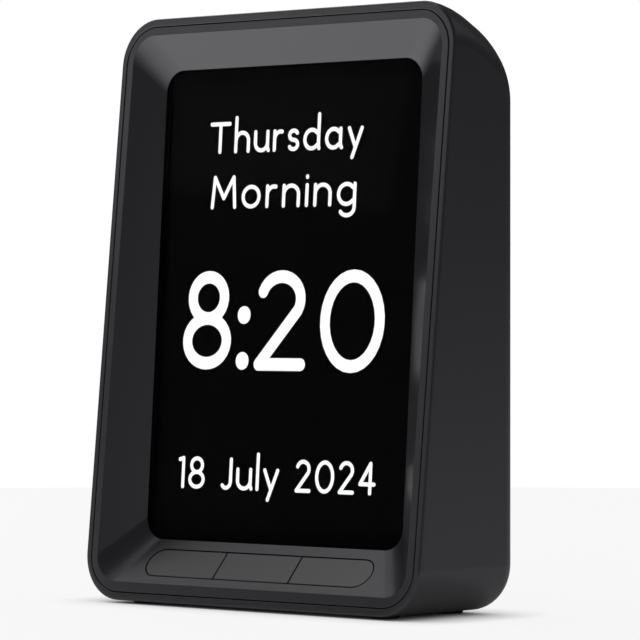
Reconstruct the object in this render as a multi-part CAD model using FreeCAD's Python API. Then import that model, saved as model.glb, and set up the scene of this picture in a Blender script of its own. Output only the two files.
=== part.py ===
import FreeCAD, Part
import math
import os

# A day clock that stands on a table: a deep housing, a sunken front frame round a portrait
# display, and a bar of three push buttons below it.
# Millimetres. The origin is on the table under the middle of the clock: X runs to the right
# of someone who reads the display, Y runs back, Z runs up.

Vector = FreeCAD.Vector

# Two lengths that differ by less count as one, and a round end keeps this much of a flat
match_tolerance = 1e-4
round_end_flat = 0.001

# Housing, outside
housing_width = 162.2
housing_height = 214.5
housing_depth = 55.2
front_tilt = 5.9
corner_radius = 16.9
rear_edge_radius = 6.6
crown_break = 28.1
crown_slope = 27.7
crown_front_radius = 33.0
crown_rear_radius = 27.2
crown_corner_radius = 16.0
crown_corner_shrink = 0.3
rim_edge_radius = 0.8

# Housing, inside
housing_wall = 2.1
rim_lip_depth = 3.0

# Seam between the housing's rim and the front frame
rim_side = 2.7
rim_bottom = 3.0
rim_top = 3.2
seam_radius = 14.1
seam_gap = 0.35
seam_edge_radius = 0.25

# Front frame
border_side = 3.1
border_bottom = 3.8
border_top = 3.1
border_radius = 10.0
border_edge_radius = 0.4
frame_wall = 2.2
skirt_depth = 8.0
funnel_skin = 3.4
ledge_width = 3.0
ledge_thickness = 1.8

# Display window and what stands behind it
window_tilt = 3.8
window_setback = 12.7
window_side = 16.05
window_low = 19.1
window_top = 17.0
window_radius = 8.2
glass_overlap = 2.5
glass_thickness = 1.8
gasket_thickness = 0.8
screen_side = 1.6
screen_end = 5.65
gasket_margin = 0.8
cell_side = 8.75
cell_end = 9.5
cell_corner_radius = 1.0
cell_thickness = 2.0
tray_wall = 0.8
tray_gap = 0.2
tray_base = 3.4
tray_lip_drop = 0.3
tray_corner_radius = 1.2
bracket_thickness = 1.0
bracket_margin = 5.0
bracket_low_reach = 20.0
bracket_top_gap = 22.4
bracket_arm_width = 10.0
bracket_corner_radius = 3.0
standoff_height = 6.0
standoff_radius = 2.6

# Key bar in the slope below the window
key_count = 3
key_bar_inset = 23.65
key_bar_height = 12.9
key_bar_rise = 9.8
key_gap = 0.35
key_edge_radius = 0.25
key_wall = 2.2
key_pad_margin = 1.6
key_travel = 0.8
key_seat_gap = 0.1
key_flange_overhang = 1.2
key_flange_thickness = 1.2
key_stem_width = 5.0
key_stem_length = 2.6
guide_gap = 0.3
guide_thickness = 1.2
guide_low_reach = 6.6
guide_high_reach = 5.3
guide_post_gap = 6.75
guide_post_radius = 3.0
guide_end_margin = 3.4
switch_width = 6.0
switch_height = 3.5
switch_neck = 0.9
switch_corner_radius = 0.6
plunger_radius = 1.6
plunger_length = 2.1
plunger_clearance = 0.08
plunger_over_travel = 0.3
board_thickness = 1.6
key_board_low_reach = 4.2
key_board_high_reach = 8.2

# Main board
main_board_width = 110.0
main_board_drop = 45.75
main_board_height = 80.0
main_board_margin = 5.0
board_corner_radius = 2.0
chip_corner_radius = 0.3
chip_size = 15.0
chip_height = 1.6
chip_rise = 44.0
memory_width = 12.0
memory_length = 9.0
memory_height = 1.1
memory_x = 20.0
crystal_width = 5.0
crystal_length = 3.2
crystal_height = 1.2
crystal_x = -15.0
cell_holder_inset = 19.0
coin_radius = 10.0
coin_thickness = 3.2
coin_gap = 0.3
holder_wall = 1.2
holder_base = 0.8
holder_mouth = 12.0

# Screws
screw_radius = 1.3
screw_head_radius = 2.3
screw_head_height = 1.6
screw_hole_gap = 0.3
screw_pilot_gap = 0.02
screw_bite = 6.0
screw_recess_width = 1.2
screw_recess_depth = 0.7
screw_hole_floor = 0.6
bracket_screw_inset = 3.6
low_screw_inset = 12.6
low_screw_rise = 12.3
high_screw_drop = 12.0
frame_boss_radius = 2.8
frame_boss_depth = 26.0
housing_tube_radius = 3.7
housing_shelf = 3.0

# Speaker on the rear wall
speaker_x = -34.0
speaker_z = 40.0
speaker_flange_radius = 19.0
speaker_flange_thickness = 1.2
speaker_gasket_thickness = 0.8
speaker_gasket_width = 3.0
speaker_basket_radius = 16.5
speaker_basket_end_radius = 12.0
speaker_basket_depth = 8.0
speaker_basket_wall = 1.0
speaker_cone_thickness = 0.5
speaker_cone_neck_radius = 5.0
speaker_cone_depth = 5.0
speaker_cone_gap = 0.05
speaker_magnet_radius = 11.0
speaker_magnet_height = 4.5
speaker_screw_count = 3
speaker_boss_radius = 2.4
speaker_boss_gap = 0.3
speaker_washer_radius = 3.6
speaker_tab_width = 4.0
speaker_tab_length = 5.0
grille_radius = 13.0
grille_pitch = 3.8
grille_hole_radius = 0.95

# Power inlet low on the rear wall
inlet_x = 40.0
inlet_z = 17.0
inlet_pocket_width = 14.0
inlet_pocket_height = 8.0
inlet_pocket_radius = 2.4
inlet_pocket_depth = 5.0
inlet_pocket_wall = 1.6
inlet_shell_width = 9.0
inlet_shell_height = 3.3
inlet_shell_wall = 0.3
inlet_shell_length = 8.6
inlet_shell_gap = 0.2
inlet_tongue_width = 6.7
inlet_tongue_height = 0.7
inlet_tongue_inset = 0.9
inlet_tongue_radius = 0.2
inlet_board_width = 20.0
inlet_board_length = 17.0
inlet_board_thickness = 1.0
inlet_boss_radius = 2.6
inlet_screw_margin = 3.2

# Feet
foot_lift = 1.2
foot_sink = 0.8
foot_radius = 5.0
foot_gap = 0.2
foot_inset = 23.1
foot_end_inset = 10.45
foot_edge_radius = 0.5

# Wires and flat cable
wire_radius = 0.65
wire_spacing = 2.0
wire_bend = 3.0
wire_tight_bend = 2.0
wire_out = 6.0
wire_short_out = 5.0
inlet_wire_rise = 12.0
button_wire_back = 10.0
button_wire_rise = 14.0
button_wire_inset = 3.0
plug_width = 8.0
plug_height = 6.0
plug_depth = 5.0
wire_plug_rise = 14.0
speaker_plug_x = -28.0
key_plug_x = 26.0
inlet_plug_inset = 11.0
ribbon_width = 30.0
ribbon_thickness = 0.3
ribbon_bend = 3.0
ribbon_start_drop = 12.0
ribbon_turn_drop = 30.0
ribbon_margin = 2.0
ribbon_plug_depth = 2.4
ribbon_plug_height = 5.0
ribbon_plug_rise = 2.0

# What follows from the sizes above
bottom_z = foot_lift
top_z = bottom_z + housing_height
front_y = -housing_depth / 2
rear_y = housing_depth / 2
rear_inside_y = rear_y - housing_wall
tilt = math.radians(front_tilt)
lean = math.radians(window_tilt)
slope = math.radians(crown_slope)


def front_y_at(z):
    return front_y + (z - bottom_z) * math.tan(tilt)


seam_low_z = bottom_z + rim_bottom
seam_high_z = top_z - rim_top
seam_width = housing_width - 2 * rim_side
seam_height = (seam_high_z - seam_low_z) / math.cos(tilt)
front_origin = Vector(0, front_y_at(seam_low_z), seam_low_z)
window_origin = front_origin + Vector(0, window_setback, 0)
key_origin = front_origin + Vector(0, math.sin(tilt), math.cos(tilt)) * border_bottom
key_far_edge = window_origin + Vector(0, math.sin(lean), math.cos(lean)) * window_low
key_slope_line = key_far_edge - key_origin
key_tilt = math.degrees(math.atan2(key_slope_line.y, key_slope_line.z))
foot_x = housing_width / 2 - foot_inset
foot_y = rear_y - foot_end_inset
key_bar_width = seam_width - 2 * key_bar_inset
guide_post_x = key_bar_width / 2 + guide_post_gap

# Window, screen and boards, as lengths up the window plane
window_width = seam_width - 2 * window_side
window_high = seam_height - window_top
window_middle = (window_low + window_high) / 2
screen_width = window_width - 2 * screen_side
screen_height = window_high - window_low - 2 * screen_end
cell_width = screen_width + 2 * cell_side
cell_height = screen_height + 2 * cell_end
main_board_low = window_middle - main_board_drop
main_board_high = main_board_low + main_board_height
chip_up = main_board_low + chip_rise
cell_holder_x = cell_holder_inset - main_board_width / 2
inlet_plug_x = main_board_width / 2 - inlet_plug_inset
bracket_low = main_board_low - bracket_low_reach
bracket_high = window_high - bracket_top_gap
ribbon_start = main_board_low - ribbon_start_drop
ribbon_turn = main_board_low - ribbon_turn_drop
ribbon_plug_low = main_board_low + ribbon_plug_rise
wire_plug_up = main_board_low + wire_plug_rise

# Depths behind the window plane
gasket_front = glass_thickness
cell_front = gasket_front + gasket_thickness
tray_floor = cell_front + cell_thickness
tray_back = tray_floor + tray_base
bracket_back = tray_back + bracket_thickness
main_board_front = bracket_back + standoff_height
main_board_back = main_board_front + board_thickness
ribbon_back = main_board_back + ribbon_plug_depth / 2
wire_plug_back = main_board_back + plug_depth

# Depths behind the key slope
key_flange_front = key_wall + key_seat_gap
key_flange_back = key_flange_front + key_flange_thickness
key_stem_end = key_flange_back + key_stem_length
guide_front = key_flange_back + key_travel + guide_gap
guide_back = guide_front + guide_thickness
switch_front = key_stem_end + switch_neck
key_board_front = switch_front + switch_height
key_board_back = key_board_front + board_thickness
key_pitch = key_bar_width / key_count


# Places on the three leaning planes: x across, up along the plane, depth into the clock
def leaned(shape, angle, origin):
    moved = shape.copy()
    moved.rotate(Vector(0, 0, 0), Vector(1, 0, 0), -angle)
    moved.translate(origin)
    return moved


def on_front(shape):
    return leaned(shape, front_tilt, front_origin)


def on_window(shape):
    return leaned(shape, window_tilt, window_origin)


def on_keys(shape):
    return leaned(shape, key_tilt, key_origin)


def window_point(x, up, depth):
    across = Vector(x, depth * math.cos(lean), -depth * math.sin(lean))
    return window_origin + across + Vector(0, math.sin(lean), math.cos(lean)) * up


def key_point(x, up, depth):
    turn = math.radians(key_tilt)
    across = Vector(x, depth * math.cos(turn), -depth * math.sin(turn))
    return key_origin + across + Vector(0, math.sin(turn), math.cos(turn)) * up


# Plain shapes
def unit(a, b):
    length = math.hypot(b[0] - a[0], b[1] - a[1])
    return ((b[0] - a[0]) / length, (b[1] - a[1]) / length)


def corner_arc(before, corner, after, radius):
    # Start, middle and end of the arc that rounds one corner
    back = unit(corner, before)
    on = unit(corner, after)
    half = math.acos(back[0] * on[0] + back[1] * on[1]) / 2
    reach = radius / math.tan(half)
    start = (corner[0] + back[0] * reach, corner[1] + back[1] * reach)
    end = (corner[0] + on[0] * reach, corner[1] + on[1] * reach)
    middle_line = unit((0, 0), (back[0] + on[0], back[1] + on[1]))
    drop = radius / math.sin(half) - radius
    middle = (corner[0] + middle_line[0] * drop, corner[1] + middle_line[1] * drop)
    return start, middle, end


def rounded_wire(corners, radii, place):
    # A closed outline with tangent arcs at its corners; place turns two numbers into a point
    count = len(corners)
    arcs = []
    for index in range(count):
        before = corners[index - 1]
        after = corners[(index + 1) % count]
        arcs.append(corner_arc(before, corners[index], after, radii[index]))
    edges = []
    for index in range(count):
        start, middle, end = arcs[index]
        following = arcs[(index + 1) % count][0]
        edges.append(Part.Arc(place(*start), place(*middle), place(*end)).toShape())
        if math.hypot(following[0] - end[0], following[1] - end[1]) > match_tolerance:
            edges.append(Part.LineSegment(place(*end), place(*following)).toShape())
    return Part.Wire(edges)


def rectangle_wire(low_x, high_x, low_z, high_z, radii, y):
    corners = [(low_x, low_z), (high_x, low_z), (high_x, high_z), (low_x, high_z)]
    return rounded_wire(corners, radii, lambda a, b: Vector(a, y, b))


def slab(width, low, high, radius, near, far, x=0.0):
    # A plate with rounded corners that lies between two depths
    wire = rectangle_wire(x - width / 2, x + width / 2, low, high, [radius] * 4, near)
    return Part.Face(wire).extrude(Vector(0, far - near, 0))


def block(low_x, high_x, low_y, high_y, low_z, high_z):
    size = Vector(high_x - low_x, high_y - low_y, high_z - low_z)
    return Part.makeBox(size.x, size.y, size.z, Vector(low_x, low_y, low_z))


def rod(radius, x, z, near, far):
    # A cylinder along the depth
    return Part.makeCylinder(radius, far - near, Vector(x, near, z), Vector(0, 1, 0))


def turned(points, x, z):
    # A solid of revolution about a line along the depth: points are (radius, depth)
    wire = Part.makePolygon([Vector(x + r, y, z) for r, y in points + points[:1]])
    return Part.Face(wire).revolve(Vector(x, 0, z), Vector(0, 1, 0), 360)


def fused(shapes):
    return shapes[0].multiFuse(shapes[1:]).removeSplitter()


def one_solid(shape):
    return shape.Solids[0] if len(shape.Solids) == 1 else shape


def tube(points, bend, radius):
    # A wire along straight runs joined by tangent arcs
    edges = []
    start = points[0]
    for index in range(1, len(points) - 1):
        corner = points[index]
        back = (points[index - 1] - corner).normalize()
        on = (points[index + 1] - corner).normalize()
        half = back.getAngle(on) / 2
        reach = bend / math.tan(half)
        arc_start = corner + back * reach
        arc_end = corner + on * reach
        arc_middle = corner + (back + on).normalize() * (bend / math.sin(half) - bend)
        edges.append(Part.LineSegment(start, arc_start).toShape())
        edges.append(Part.Arc(arc_start, arc_middle, arc_end).toShape())
        start = arc_end
    edges.append(Part.LineSegment(start, points[-1]).toShape())
    path = Part.Wire(edges)
    ring = Part.Wire(Part.makeCircle(radius, points[0], points[1] - points[0]))
    return path.makePipeShell([ring], True, False)


def screw(head_centre, direction, length, head_radius=screw_head_radius):
    # A pan head with a slot cross, and a plain shank for the thread
    head = Part.makeCylinder(head_radius, screw_head_height, head_centre, direction * -1)
    shank = Part.makeCylinder(screw_radius, length, head_centre, direction)
    slot_floor = head_centre - direction * (screw_head_height - screw_recess_depth)
    cross = []
    for turn in (0, 90):
        bar = Part.makeBox(2 * screw_head_radius * 0.7, screw_recess_width, 2 * screw_recess_depth)
        bar.translate(Vector(-screw_head_radius * 0.7, -screw_recess_width / 2, 0))
        bar.rotate(Vector(0, 0, 0), Vector(0, 0, 1), turn)
        facing = FreeCAD.Rotation(Vector(0, 0, 1), direction * -1)
        bar.Placement = FreeCAD.Placement(slot_floor, facing).multiply(bar.Placement)
        cross.append(bar)
    return fused([head, shank]).cut(cross[0].fuse(cross[1]))


# Outer and inner form of the housing
crown_corner_y = front_y + crown_break
crown_start_y = crown_corner_y - crown_front_radius * math.tan(slope / 2)
front_arc_z = top_z - crown_front_radius
rear_corner_z = top_z - (rear_y - crown_corner_y) * math.tan(slope)
rear_arc_y = rear_y - crown_rear_radius
rear_arc_z = rear_corner_z - crown_rear_radius * math.tan((math.pi / 2 - slope) / 2)
edge_centre_y = rear_y - rear_edge_radius
front_station_count = 5
crown_station_count = 8
edge_station_count = 18


def crown_height(y, inset):
    # Level top, arc, straight slope, arc into the upright rear wall
    front_arc_end = crown_start_y + (crown_front_radius - inset) * math.sin(slope)
    rear_arc_start = rear_arc_y + (crown_rear_radius - inset) * math.sin(slope)
    if y <= crown_start_y:
        return top_z - inset
    if y <= front_arc_end:
        reach = y - crown_start_y
        return front_arc_z + math.sqrt((crown_front_radius - inset) ** 2 - reach ** 2)
    if y <= rear_arc_start:
        start = front_arc_z + (crown_front_radius - inset) * math.cos(slope)
        return start - (y - front_arc_end) * math.tan(slope)
    reach = y - rear_arc_y
    return rear_arc_z + math.sqrt(max((crown_rear_radius - inset) ** 2 - reach ** 2, 0))


def edge_narrowing(y, inset):
    # How far the rounded rear edge has drawn in the sides and the underside
    reach = max(y - edge_centre_y, 0)
    radius = rear_edge_radius - inset
    return radius - math.sqrt(max(radius ** 2 - reach ** 2, 0))


def housing_section(y, inset):
    narrowing = edge_narrowing(y, inset)
    half = housing_width / 2 - inset - narrowing
    low = bottom_z + inset + narrowing
    slope_end = rear_arc_y + crown_rear_radius * math.sin(slope)
    share = min(max((y - crown_start_y) / (slope_end - crown_start_y), 0), 1)
    high_radius = corner_radius + (crown_corner_radius - corner_radius) * share
    low_corner = corner_radius - inset - narrowing
    high_corner = high_radius - inset - narrowing * crown_corner_shrink
    radii = [low_corner, low_corner, high_corner, high_corner]
    return rectangle_wire(-half, half, low, crown_height(y, inset), radii, y)


def housing_form(inset):
    # Sections from before the front to the rear wall, closer together where it curves
    slope_end = rear_arc_y + (crown_rear_radius - inset) * math.sin(slope)
    last_y = rear_y - inset
    stations = []
    straight_start = front_y - rear_edge_radius
    for step in range(front_station_count + 1):
        stations.append(straight_start + (crown_start_y - straight_start) * step / front_station_count)
    for step in range(1, crown_station_count + 1):
        stations.append(crown_start_y + (slope_end - crown_start_y) * step / crown_station_count)
    for step in range(1, edge_station_count + 1):
        turn = math.pi / 2 * step / edge_station_count
        stations.append(slope_end + (last_y - slope_end) * math.sin(turn))
    wires = [housing_section(y, inset) for y in stations]
    return Part.makeLoft(wires, True, False)


def behind_front(depth):
    # Everything that lies deeper than the front plane by depth
    size = 2 * (housing_height + housing_depth)
    return on_front(block(-size, size, depth, size, -size, size))


def facing_front(shape):
    # The face that lies in the front plane
    outward = Vector(0, -math.cos(tilt), math.sin(tilt))
    for face in shape.Faces:
        if face.Surface.TypeId != "Part::GeomPlane":
            continue
        normal = face.normalAt(0, 0)
        offset = (face.CenterOfMass - front_origin).dot(outward)
        if abs(offset) < match_tolerance and normal.dot(outward) > 0.999:
            return face
    return None


def seam_slab(grow, near, far):
    half_gap = seam_gap / 2 * grow
    width = seam_width + 2 * half_gap
    return on_front(slab(width, -half_gap, seam_height + half_gap, seam_radius + half_gap, near, far))


def window_y_at(z):
    return window_origin.y + (z - window_origin.z) * math.tan(lean)


low_screw_x = housing_width / 2 - low_screw_inset
low_screw_z = bottom_z + low_screw_rise
low_boss_end = front_y + frame_boss_depth
high_screw_x = main_board_width / 2
high_screw_z = window_point(0, bracket_high - high_screw_drop, tray_back).z
high_boss_end = window_y_at(high_screw_z) + main_board_front
bracket_screw_x = seam_width / 2 - bracket_screw_inset


def low_screw_places():
    for x in (-low_screw_x, low_screw_x):
        yield x, low_screw_z, low_boss_end


def high_screw_places():
    for x in (-high_screw_x, high_screw_x):
        yield x, high_screw_z, high_boss_end


def housing_screw_places():
    yield from low_screw_places()
    yield from high_screw_places()


def grille_holes():
    holes = []
    rows = int(grille_radius / grille_pitch) + 1
    row_rise = grille_pitch * math.sqrt(3) / 2
    for row in range(-rows, rows + 1):
        for column in range(-rows - 1, rows + 2):
            x = (column + 0.5 * (row % 2)) * grille_pitch
            z = row * row_rise
            if math.hypot(x, z) <= grille_radius:
                start = rear_inside_y - housing_wall
                holes.append(rod(grille_hole_radius, speaker_x + x, speaker_z + z, start, rear_y + 1))
    return holes


def speaker_screw_places():
    reach = speaker_flange_radius + speaker_boss_gap + speaker_boss_radius
    for index in range(speaker_screw_count):
        turn = math.radians(90 + 360 * index / speaker_screw_count)
        yield speaker_x + reach * math.cos(turn), speaker_z + reach * math.sin(turn)


inlet_floor_y = rear_y - inlet_pocket_depth
inlet_board_top = inlet_z - inlet_shell_height / 2
inlet_board_rear = inlet_floor_y - inlet_pocket_wall - 2 * inlet_shell_gap
inlet_board_front = inlet_board_rear - inlet_board_length


def inlet_screw_places():
    reach = inlet_board_width / 2 - inlet_screw_margin
    for side in (-1, 1):
        yield inlet_x + side * reach, inlet_board_front + inlet_screw_margin


def foot_places():
    for x in (-foot_x, foot_x):
        for y in (-foot_y, foot_y):
            yield x, y


def inlet_slab(width, height, radius, near, far):
    low = inlet_z - height / 2
    return slab(width, low, low + height, radius, near, far, inlet_x)


def housing():
    outer = housing_form(0).common(behind_front(0))
    outer = outer.makeFillet(rim_edge_radius, facing_front(outer).OuterWire.Edges)
    cavity = housing_form(housing_wall).common(behind_front(rim_lip_depth))
    shell = outer.cut([cavity, seam_slab(1, -1, rim_lip_depth + 1)])
    opening = facing_front(shell).Wires[1]
    shell = one_solid(shell.makeFillet(seam_edge_radius, opening.Edges))
    inside = rear_inside_y + housing_wall / 2
    added = []
    for x, z, boss_end in housing_screw_places():
        added.append(rod(housing_tube_radius, x, z, boss_end, inside))
    for x, z in speaker_screw_places():
        boss_top = rear_inside_y - speaker_gasket_thickness - speaker_flange_thickness
        added.append(rod(speaker_boss_radius, x, z, boss_top, inside))
    pocket_width = inlet_pocket_width + 2 * inlet_pocket_wall
    pocket_height = inlet_pocket_height + 2 * inlet_pocket_wall
    pocket_radius = inlet_pocket_radius + inlet_pocket_wall
    pocket_start = inlet_floor_y - inlet_pocket_wall
    added.append(inlet_slab(pocket_width, pocket_height, pocket_radius, pocket_start, inside))
    for x, y in inlet_screw_places():
        boss_top = inlet_board_top - inlet_board_thickness
        boss_low = bottom_z + housing_wall / 2
        added.append(Part.makeCylinder(inlet_boss_radius, boss_top - boss_low, Vector(x, y, boss_low)))
    removed = grille_holes()
    hole = screw_radius + screw_hole_gap
    head = screw_head_radius + screw_hole_gap
    pilot = screw_radius + screw_pilot_gap
    for x, z, boss_end in housing_screw_places():
        removed.append(rod(hole, x, z, boss_end - 1, rear_y + 1))
        removed.append(rod(head, x, z, boss_end + housing_shelf, rear_y + 1))
    for x, z in speaker_screw_places():
        removed.append(rod(pilot, x, z, rear_inside_y - 3 * housing_wall, rear_y - housing_wall / 2))
    for x, y in inlet_screw_places():
        removed.append(Part.makeCylinder(pilot, screw_bite, Vector(x, y, inlet_board_top - screw_bite)))
    aperture_width = inlet_shell_width + 2 * inlet_shell_gap
    aperture_height = inlet_shell_height + 2 * inlet_shell_gap
    aperture_radius = aperture_height / 2 - round_end_flat
    pocket_size = (inlet_pocket_width, inlet_pocket_height, inlet_pocket_radius)
    removed.append(inlet_slab(*pocket_size, inlet_floor_y, rear_y + 1))
    before = inlet_floor_y - 2 * inlet_pocket_wall
    removed.append(inlet_slab(aperture_width, aperture_height, aperture_radius, before, inlet_floor_y + 1))
    for x, y in foot_places():
        recess = Part.makeCylinder(foot_radius + foot_gap, foot_sink + 1, Vector(x, y, bottom_z - 1))
        removed.append(recess)
    return one_solid(shell.multiFuse(added).cut(removed))


# Front frame
def border_wire(grow):
    half = seam_width / 2 - border_side + grow
    low = border_bottom - grow
    high = seam_height - border_top + grow
    return on_front(rectangle_wire(-half, half, low, high, [border_radius + grow] * 4, 0))


def window_wire(grow):
    half = window_width / 2 + grow
    wire = rectangle_wire(-half, half, window_low - grow, window_high + grow, [window_radius + grow] * 4, 0)
    return on_window(wire)


def window_slab(grow, near, far):
    width = window_width + 2 * grow
    radius = window_radius + grow
    return on_window(slab(width, window_low - grow, window_high + grow, radius, near, far))


def key_slab(grow, near, far):
    # The key bar's outline, with full round ends
    low = key_bar_rise - key_bar_height / 2 - grow
    high = key_bar_rise + key_bar_height / 2 + grow
    radius = (high - low) / 2 - round_end_flat
    return slab(key_bar_width + 2 * grow, low, high, radius, near, far)


def bracket_screw_places():
    half = bracket_arm_width / 2
    for x in (-bracket_screw_x, bracket_screw_x):
        for up in (main_board_low + half, main_board_high - half):
            yield x, up


def guide_screw_places():
    for x in (-guide_post_x, guide_post_x):
        yield x, key_bar_rise


def front_frame():
    outline = seam_slab(-1, 0, frame_wall)
    skirt = seam_slab(-1, 0, skirt_depth)
    inner_low = seam_gap / 2 + frame_wall
    inner_width = seam_width - 2 * inner_low
    inner_radius = seam_radius - inner_low
    inner_high = seam_height - inner_low
    hollow = on_front(slab(inner_width, inner_low, inner_high, inner_radius, -1, skirt_depth + 1))
    funnel = Part.makeLoft([border_wire(funnel_skin), window_wire(funnel_skin)], True, True)
    funnel = funnel.common(seam_slab(-1, 0, 4 * skirt_depth))
    ledge = window_slab(ledge_width, -ledge_thickness, 0)
    pad = on_keys(key_slab(key_pad_margin, key_wall / 2, key_wall))
    parts = [outline, skirt.cut(hollow), funnel, ledge, pad]
    for x, z, boss_end in low_screw_places():
        start = front_y_at(z) + frame_wall / 2
        parts.append(rod(frame_boss_radius, x, z, start, boss_end))
    for x, up in bracket_screw_places():
        parts.append(on_window(rod(frame_boss_radius, x, up, -2 * ledge_thickness, tray_back)))
    for x, up in guide_screw_places():
        parts.append(on_keys(rod(guide_post_radius, x, up, key_wall / 2, guide_front)))
    body = fused(parts)
    void = Part.makeLoft([border_wire(0), window_wire(0)], True, True)
    opening = window_slab(0, -ledge_thickness / 4, ledge_thickness)
    removed = [void, opening, on_keys(key_slab(0, -1, 2 * key_wall))]
    pilot = screw_radius + screw_pilot_gap
    for x, z, boss_end in low_screw_places():
        removed.append(rod(pilot, x, z, boss_end - screw_bite - 1, boss_end + 1))
    for x, up in bracket_screw_places():
        removed.append(on_window(rod(pilot, x, up, tray_back - screw_bite - 1, tray_back + 1)))
    for x, up in guide_screw_places():
        removed.append(on_keys(rod(pilot, x, up, key_wall - screw_hole_floor, guide_front + 1)))
    room = seam_slab(-1, -1, rim_lip_depth).fuse(housing_form(housing_wall + seam_gap))
    body = one_solid(body.cut(removed).common(room))
    body = body.makeFillet(seam_edge_radius, facing_front(body).OuterWire.Edges)
    body = body.makeFillet(border_edge_radius, facing_front(body).Wires[1].Edges)
    return one_solid(body)


# Display
def display_window():
    return window_slab(glass_overlap, 0, glass_thickness)


def display_gasket():
    width = screen_width + 2 * gasket_margin
    half = screen_height / 2 + gasket_margin
    hole = slab(width, window_middle - half, window_middle + half, cell_corner_radius, 0, cell_front + 1)
    return window_slab(glass_overlap, gasket_front, cell_front).cut(on_window(hole))


def stack_slab(width, height, radius, near, far):
    low = window_middle - height / 2
    return on_window(slab(width, low, low + height, radius, near, far))


def lcd_cell():
    return stack_slab(cell_width, cell_height, cell_corner_radius, cell_front, tray_floor)


def backlight_tray():
    room = 2 * tray_gap
    wall = 2 * (tray_gap + tray_wall)
    lip = cell_front + tray_lip_drop
    outer_radius = tray_corner_radius + tray_wall
    tray = stack_slab(cell_width + wall, cell_height + wall, outer_radius, lip, tray_back)
    hollow = stack_slab(cell_width + room, cell_height + room, tray_corner_radius, lip - 1, tray_floor)
    return tray.cut(hollow)


def board_screw_places():
    half = main_board_width / 2 - main_board_margin
    for x in (-half, half):
        for up in (main_board_low + main_board_margin, main_board_high - main_board_margin):
            yield x, up


def bracket_slab(width, low, high, near=0.0, far=bracket_thickness):
    # A rounded plate at a depth measured from the back of the tray
    return on_window(slab(width, low, high, bracket_corner_radius, tray_back + near, tray_back + far))


def lcd_bracket():
    arm = bracket_arm_width
    plate_width = main_board_width + 2 * bracket_margin
    ear_width = 2 * (bracket_screw_x + frame_boss_radius)
    root = tray_back + bracket_thickness / 2
    parts = [bracket_slab(plate_width, bracket_low, bracket_high)]
    for start in (main_board_low, main_board_high - arm):
        parts.append(bracket_slab(ear_width, start, start + arm))
    for x, up in board_screw_places():
        parts.append(on_window(rod(standoff_radius, x, up, root, main_board_front)))
    for x, z, boss_end in high_screw_places():
        parts.append(rod(standoff_radius, x, z, window_y_at(z) + root, boss_end))
    through = bracket_thickness + 1
    opening_width = main_board_width / 2
    removed = [bracket_slab(opening_width, main_board_low + arm, main_board_high - arm, -1, through)]
    slot_width = ribbon_width + 2 * ribbon_margin
    slot_low = ribbon_turn - ribbon_bend
    slot_high = ribbon_start + ribbon_bend
    removed.append(bracket_slab(slot_width, slot_low, slot_high, -1, through))
    hole = screw_radius + screw_hole_gap
    pilot = screw_radius + screw_pilot_gap
    for x, up in bracket_screw_places():
        removed.append(on_window(rod(hole, x, up, tray_back - 1, bracket_back + 1)))
    for x, up in board_screw_places():
        removed.append(on_window(rod(pilot, x, up, tray_back - 1, main_board_front + 1)))
    for x, z, boss_end in high_screw_places():
        removed.append(rod(pilot, x, z, window_y_at(z), boss_end + 1))
    return one_solid(fused(parts).cut(removed))


# Main board and its parts
def main_board():
    size = (main_board_width, main_board_low, main_board_high, board_corner_radius)
    board = slab(*size, main_board_front, main_board_back)
    hole = screw_radius + screw_hole_gap
    holes = [rod(hole, x, up, 0, 2 * main_board_back) for x, up in board_screw_places()]
    return on_window(board.cut(holes))


def on_board(width, length, height, x, up):
    low = up - length / 2
    back = main_board_back + height
    return on_window(slab(width, low, low + length, chip_corner_radius, main_board_back, back, x))


def processor_chip():
    return on_board(chip_size, chip_size, chip_height, 0, chip_up)


def memory_chip():
    return on_board(memory_width, memory_length, memory_height, memory_x, chip_up)


def clock_crystal():
    return on_board(crystal_width, crystal_length, crystal_height, crystal_x, chip_up)


def coin_cell_holder():
    # An open well with a mouth on its outer side
    half = coin_radius + coin_gap + holder_wall
    floor = main_board_back + holder_base
    back = floor + coin_thickness
    low = chip_up - half
    body = slab(2 * half, low, low + 2 * half, board_corner_radius, main_board_back, back, cell_holder_x)
    well = rod(coin_radius + coin_gap, cell_holder_x, chip_up, floor, back + 1)
    mouth_low = chip_up - holder_mouth / 2
    outside = cell_holder_x - 2 * half
    mouth = block(outside, cell_holder_x, floor, back + 1, mouth_low, mouth_low + holder_mouth)
    return on_window(body.cut([well, mouth]))


def coin_cell():
    floor = main_board_back + holder_base
    return on_window(rod(coin_radius, cell_holder_x, chip_up, floor, floor + coin_thickness))


def ribbon_connector():
    middle = ribbon_plug_low + ribbon_plug_height / 2
    return on_board(ribbon_width + 2 * ribbon_margin, ribbon_plug_height, ribbon_plug_depth, 0, middle)


def wire_connectors():
    plugs = []
    for x in (speaker_plug_x, key_plug_x, inlet_plug_x):
        plugs.append(on_board(plug_width, plug_height, plug_depth, x, wire_plug_up))
    return Part.makeCompound(plugs)


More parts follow.
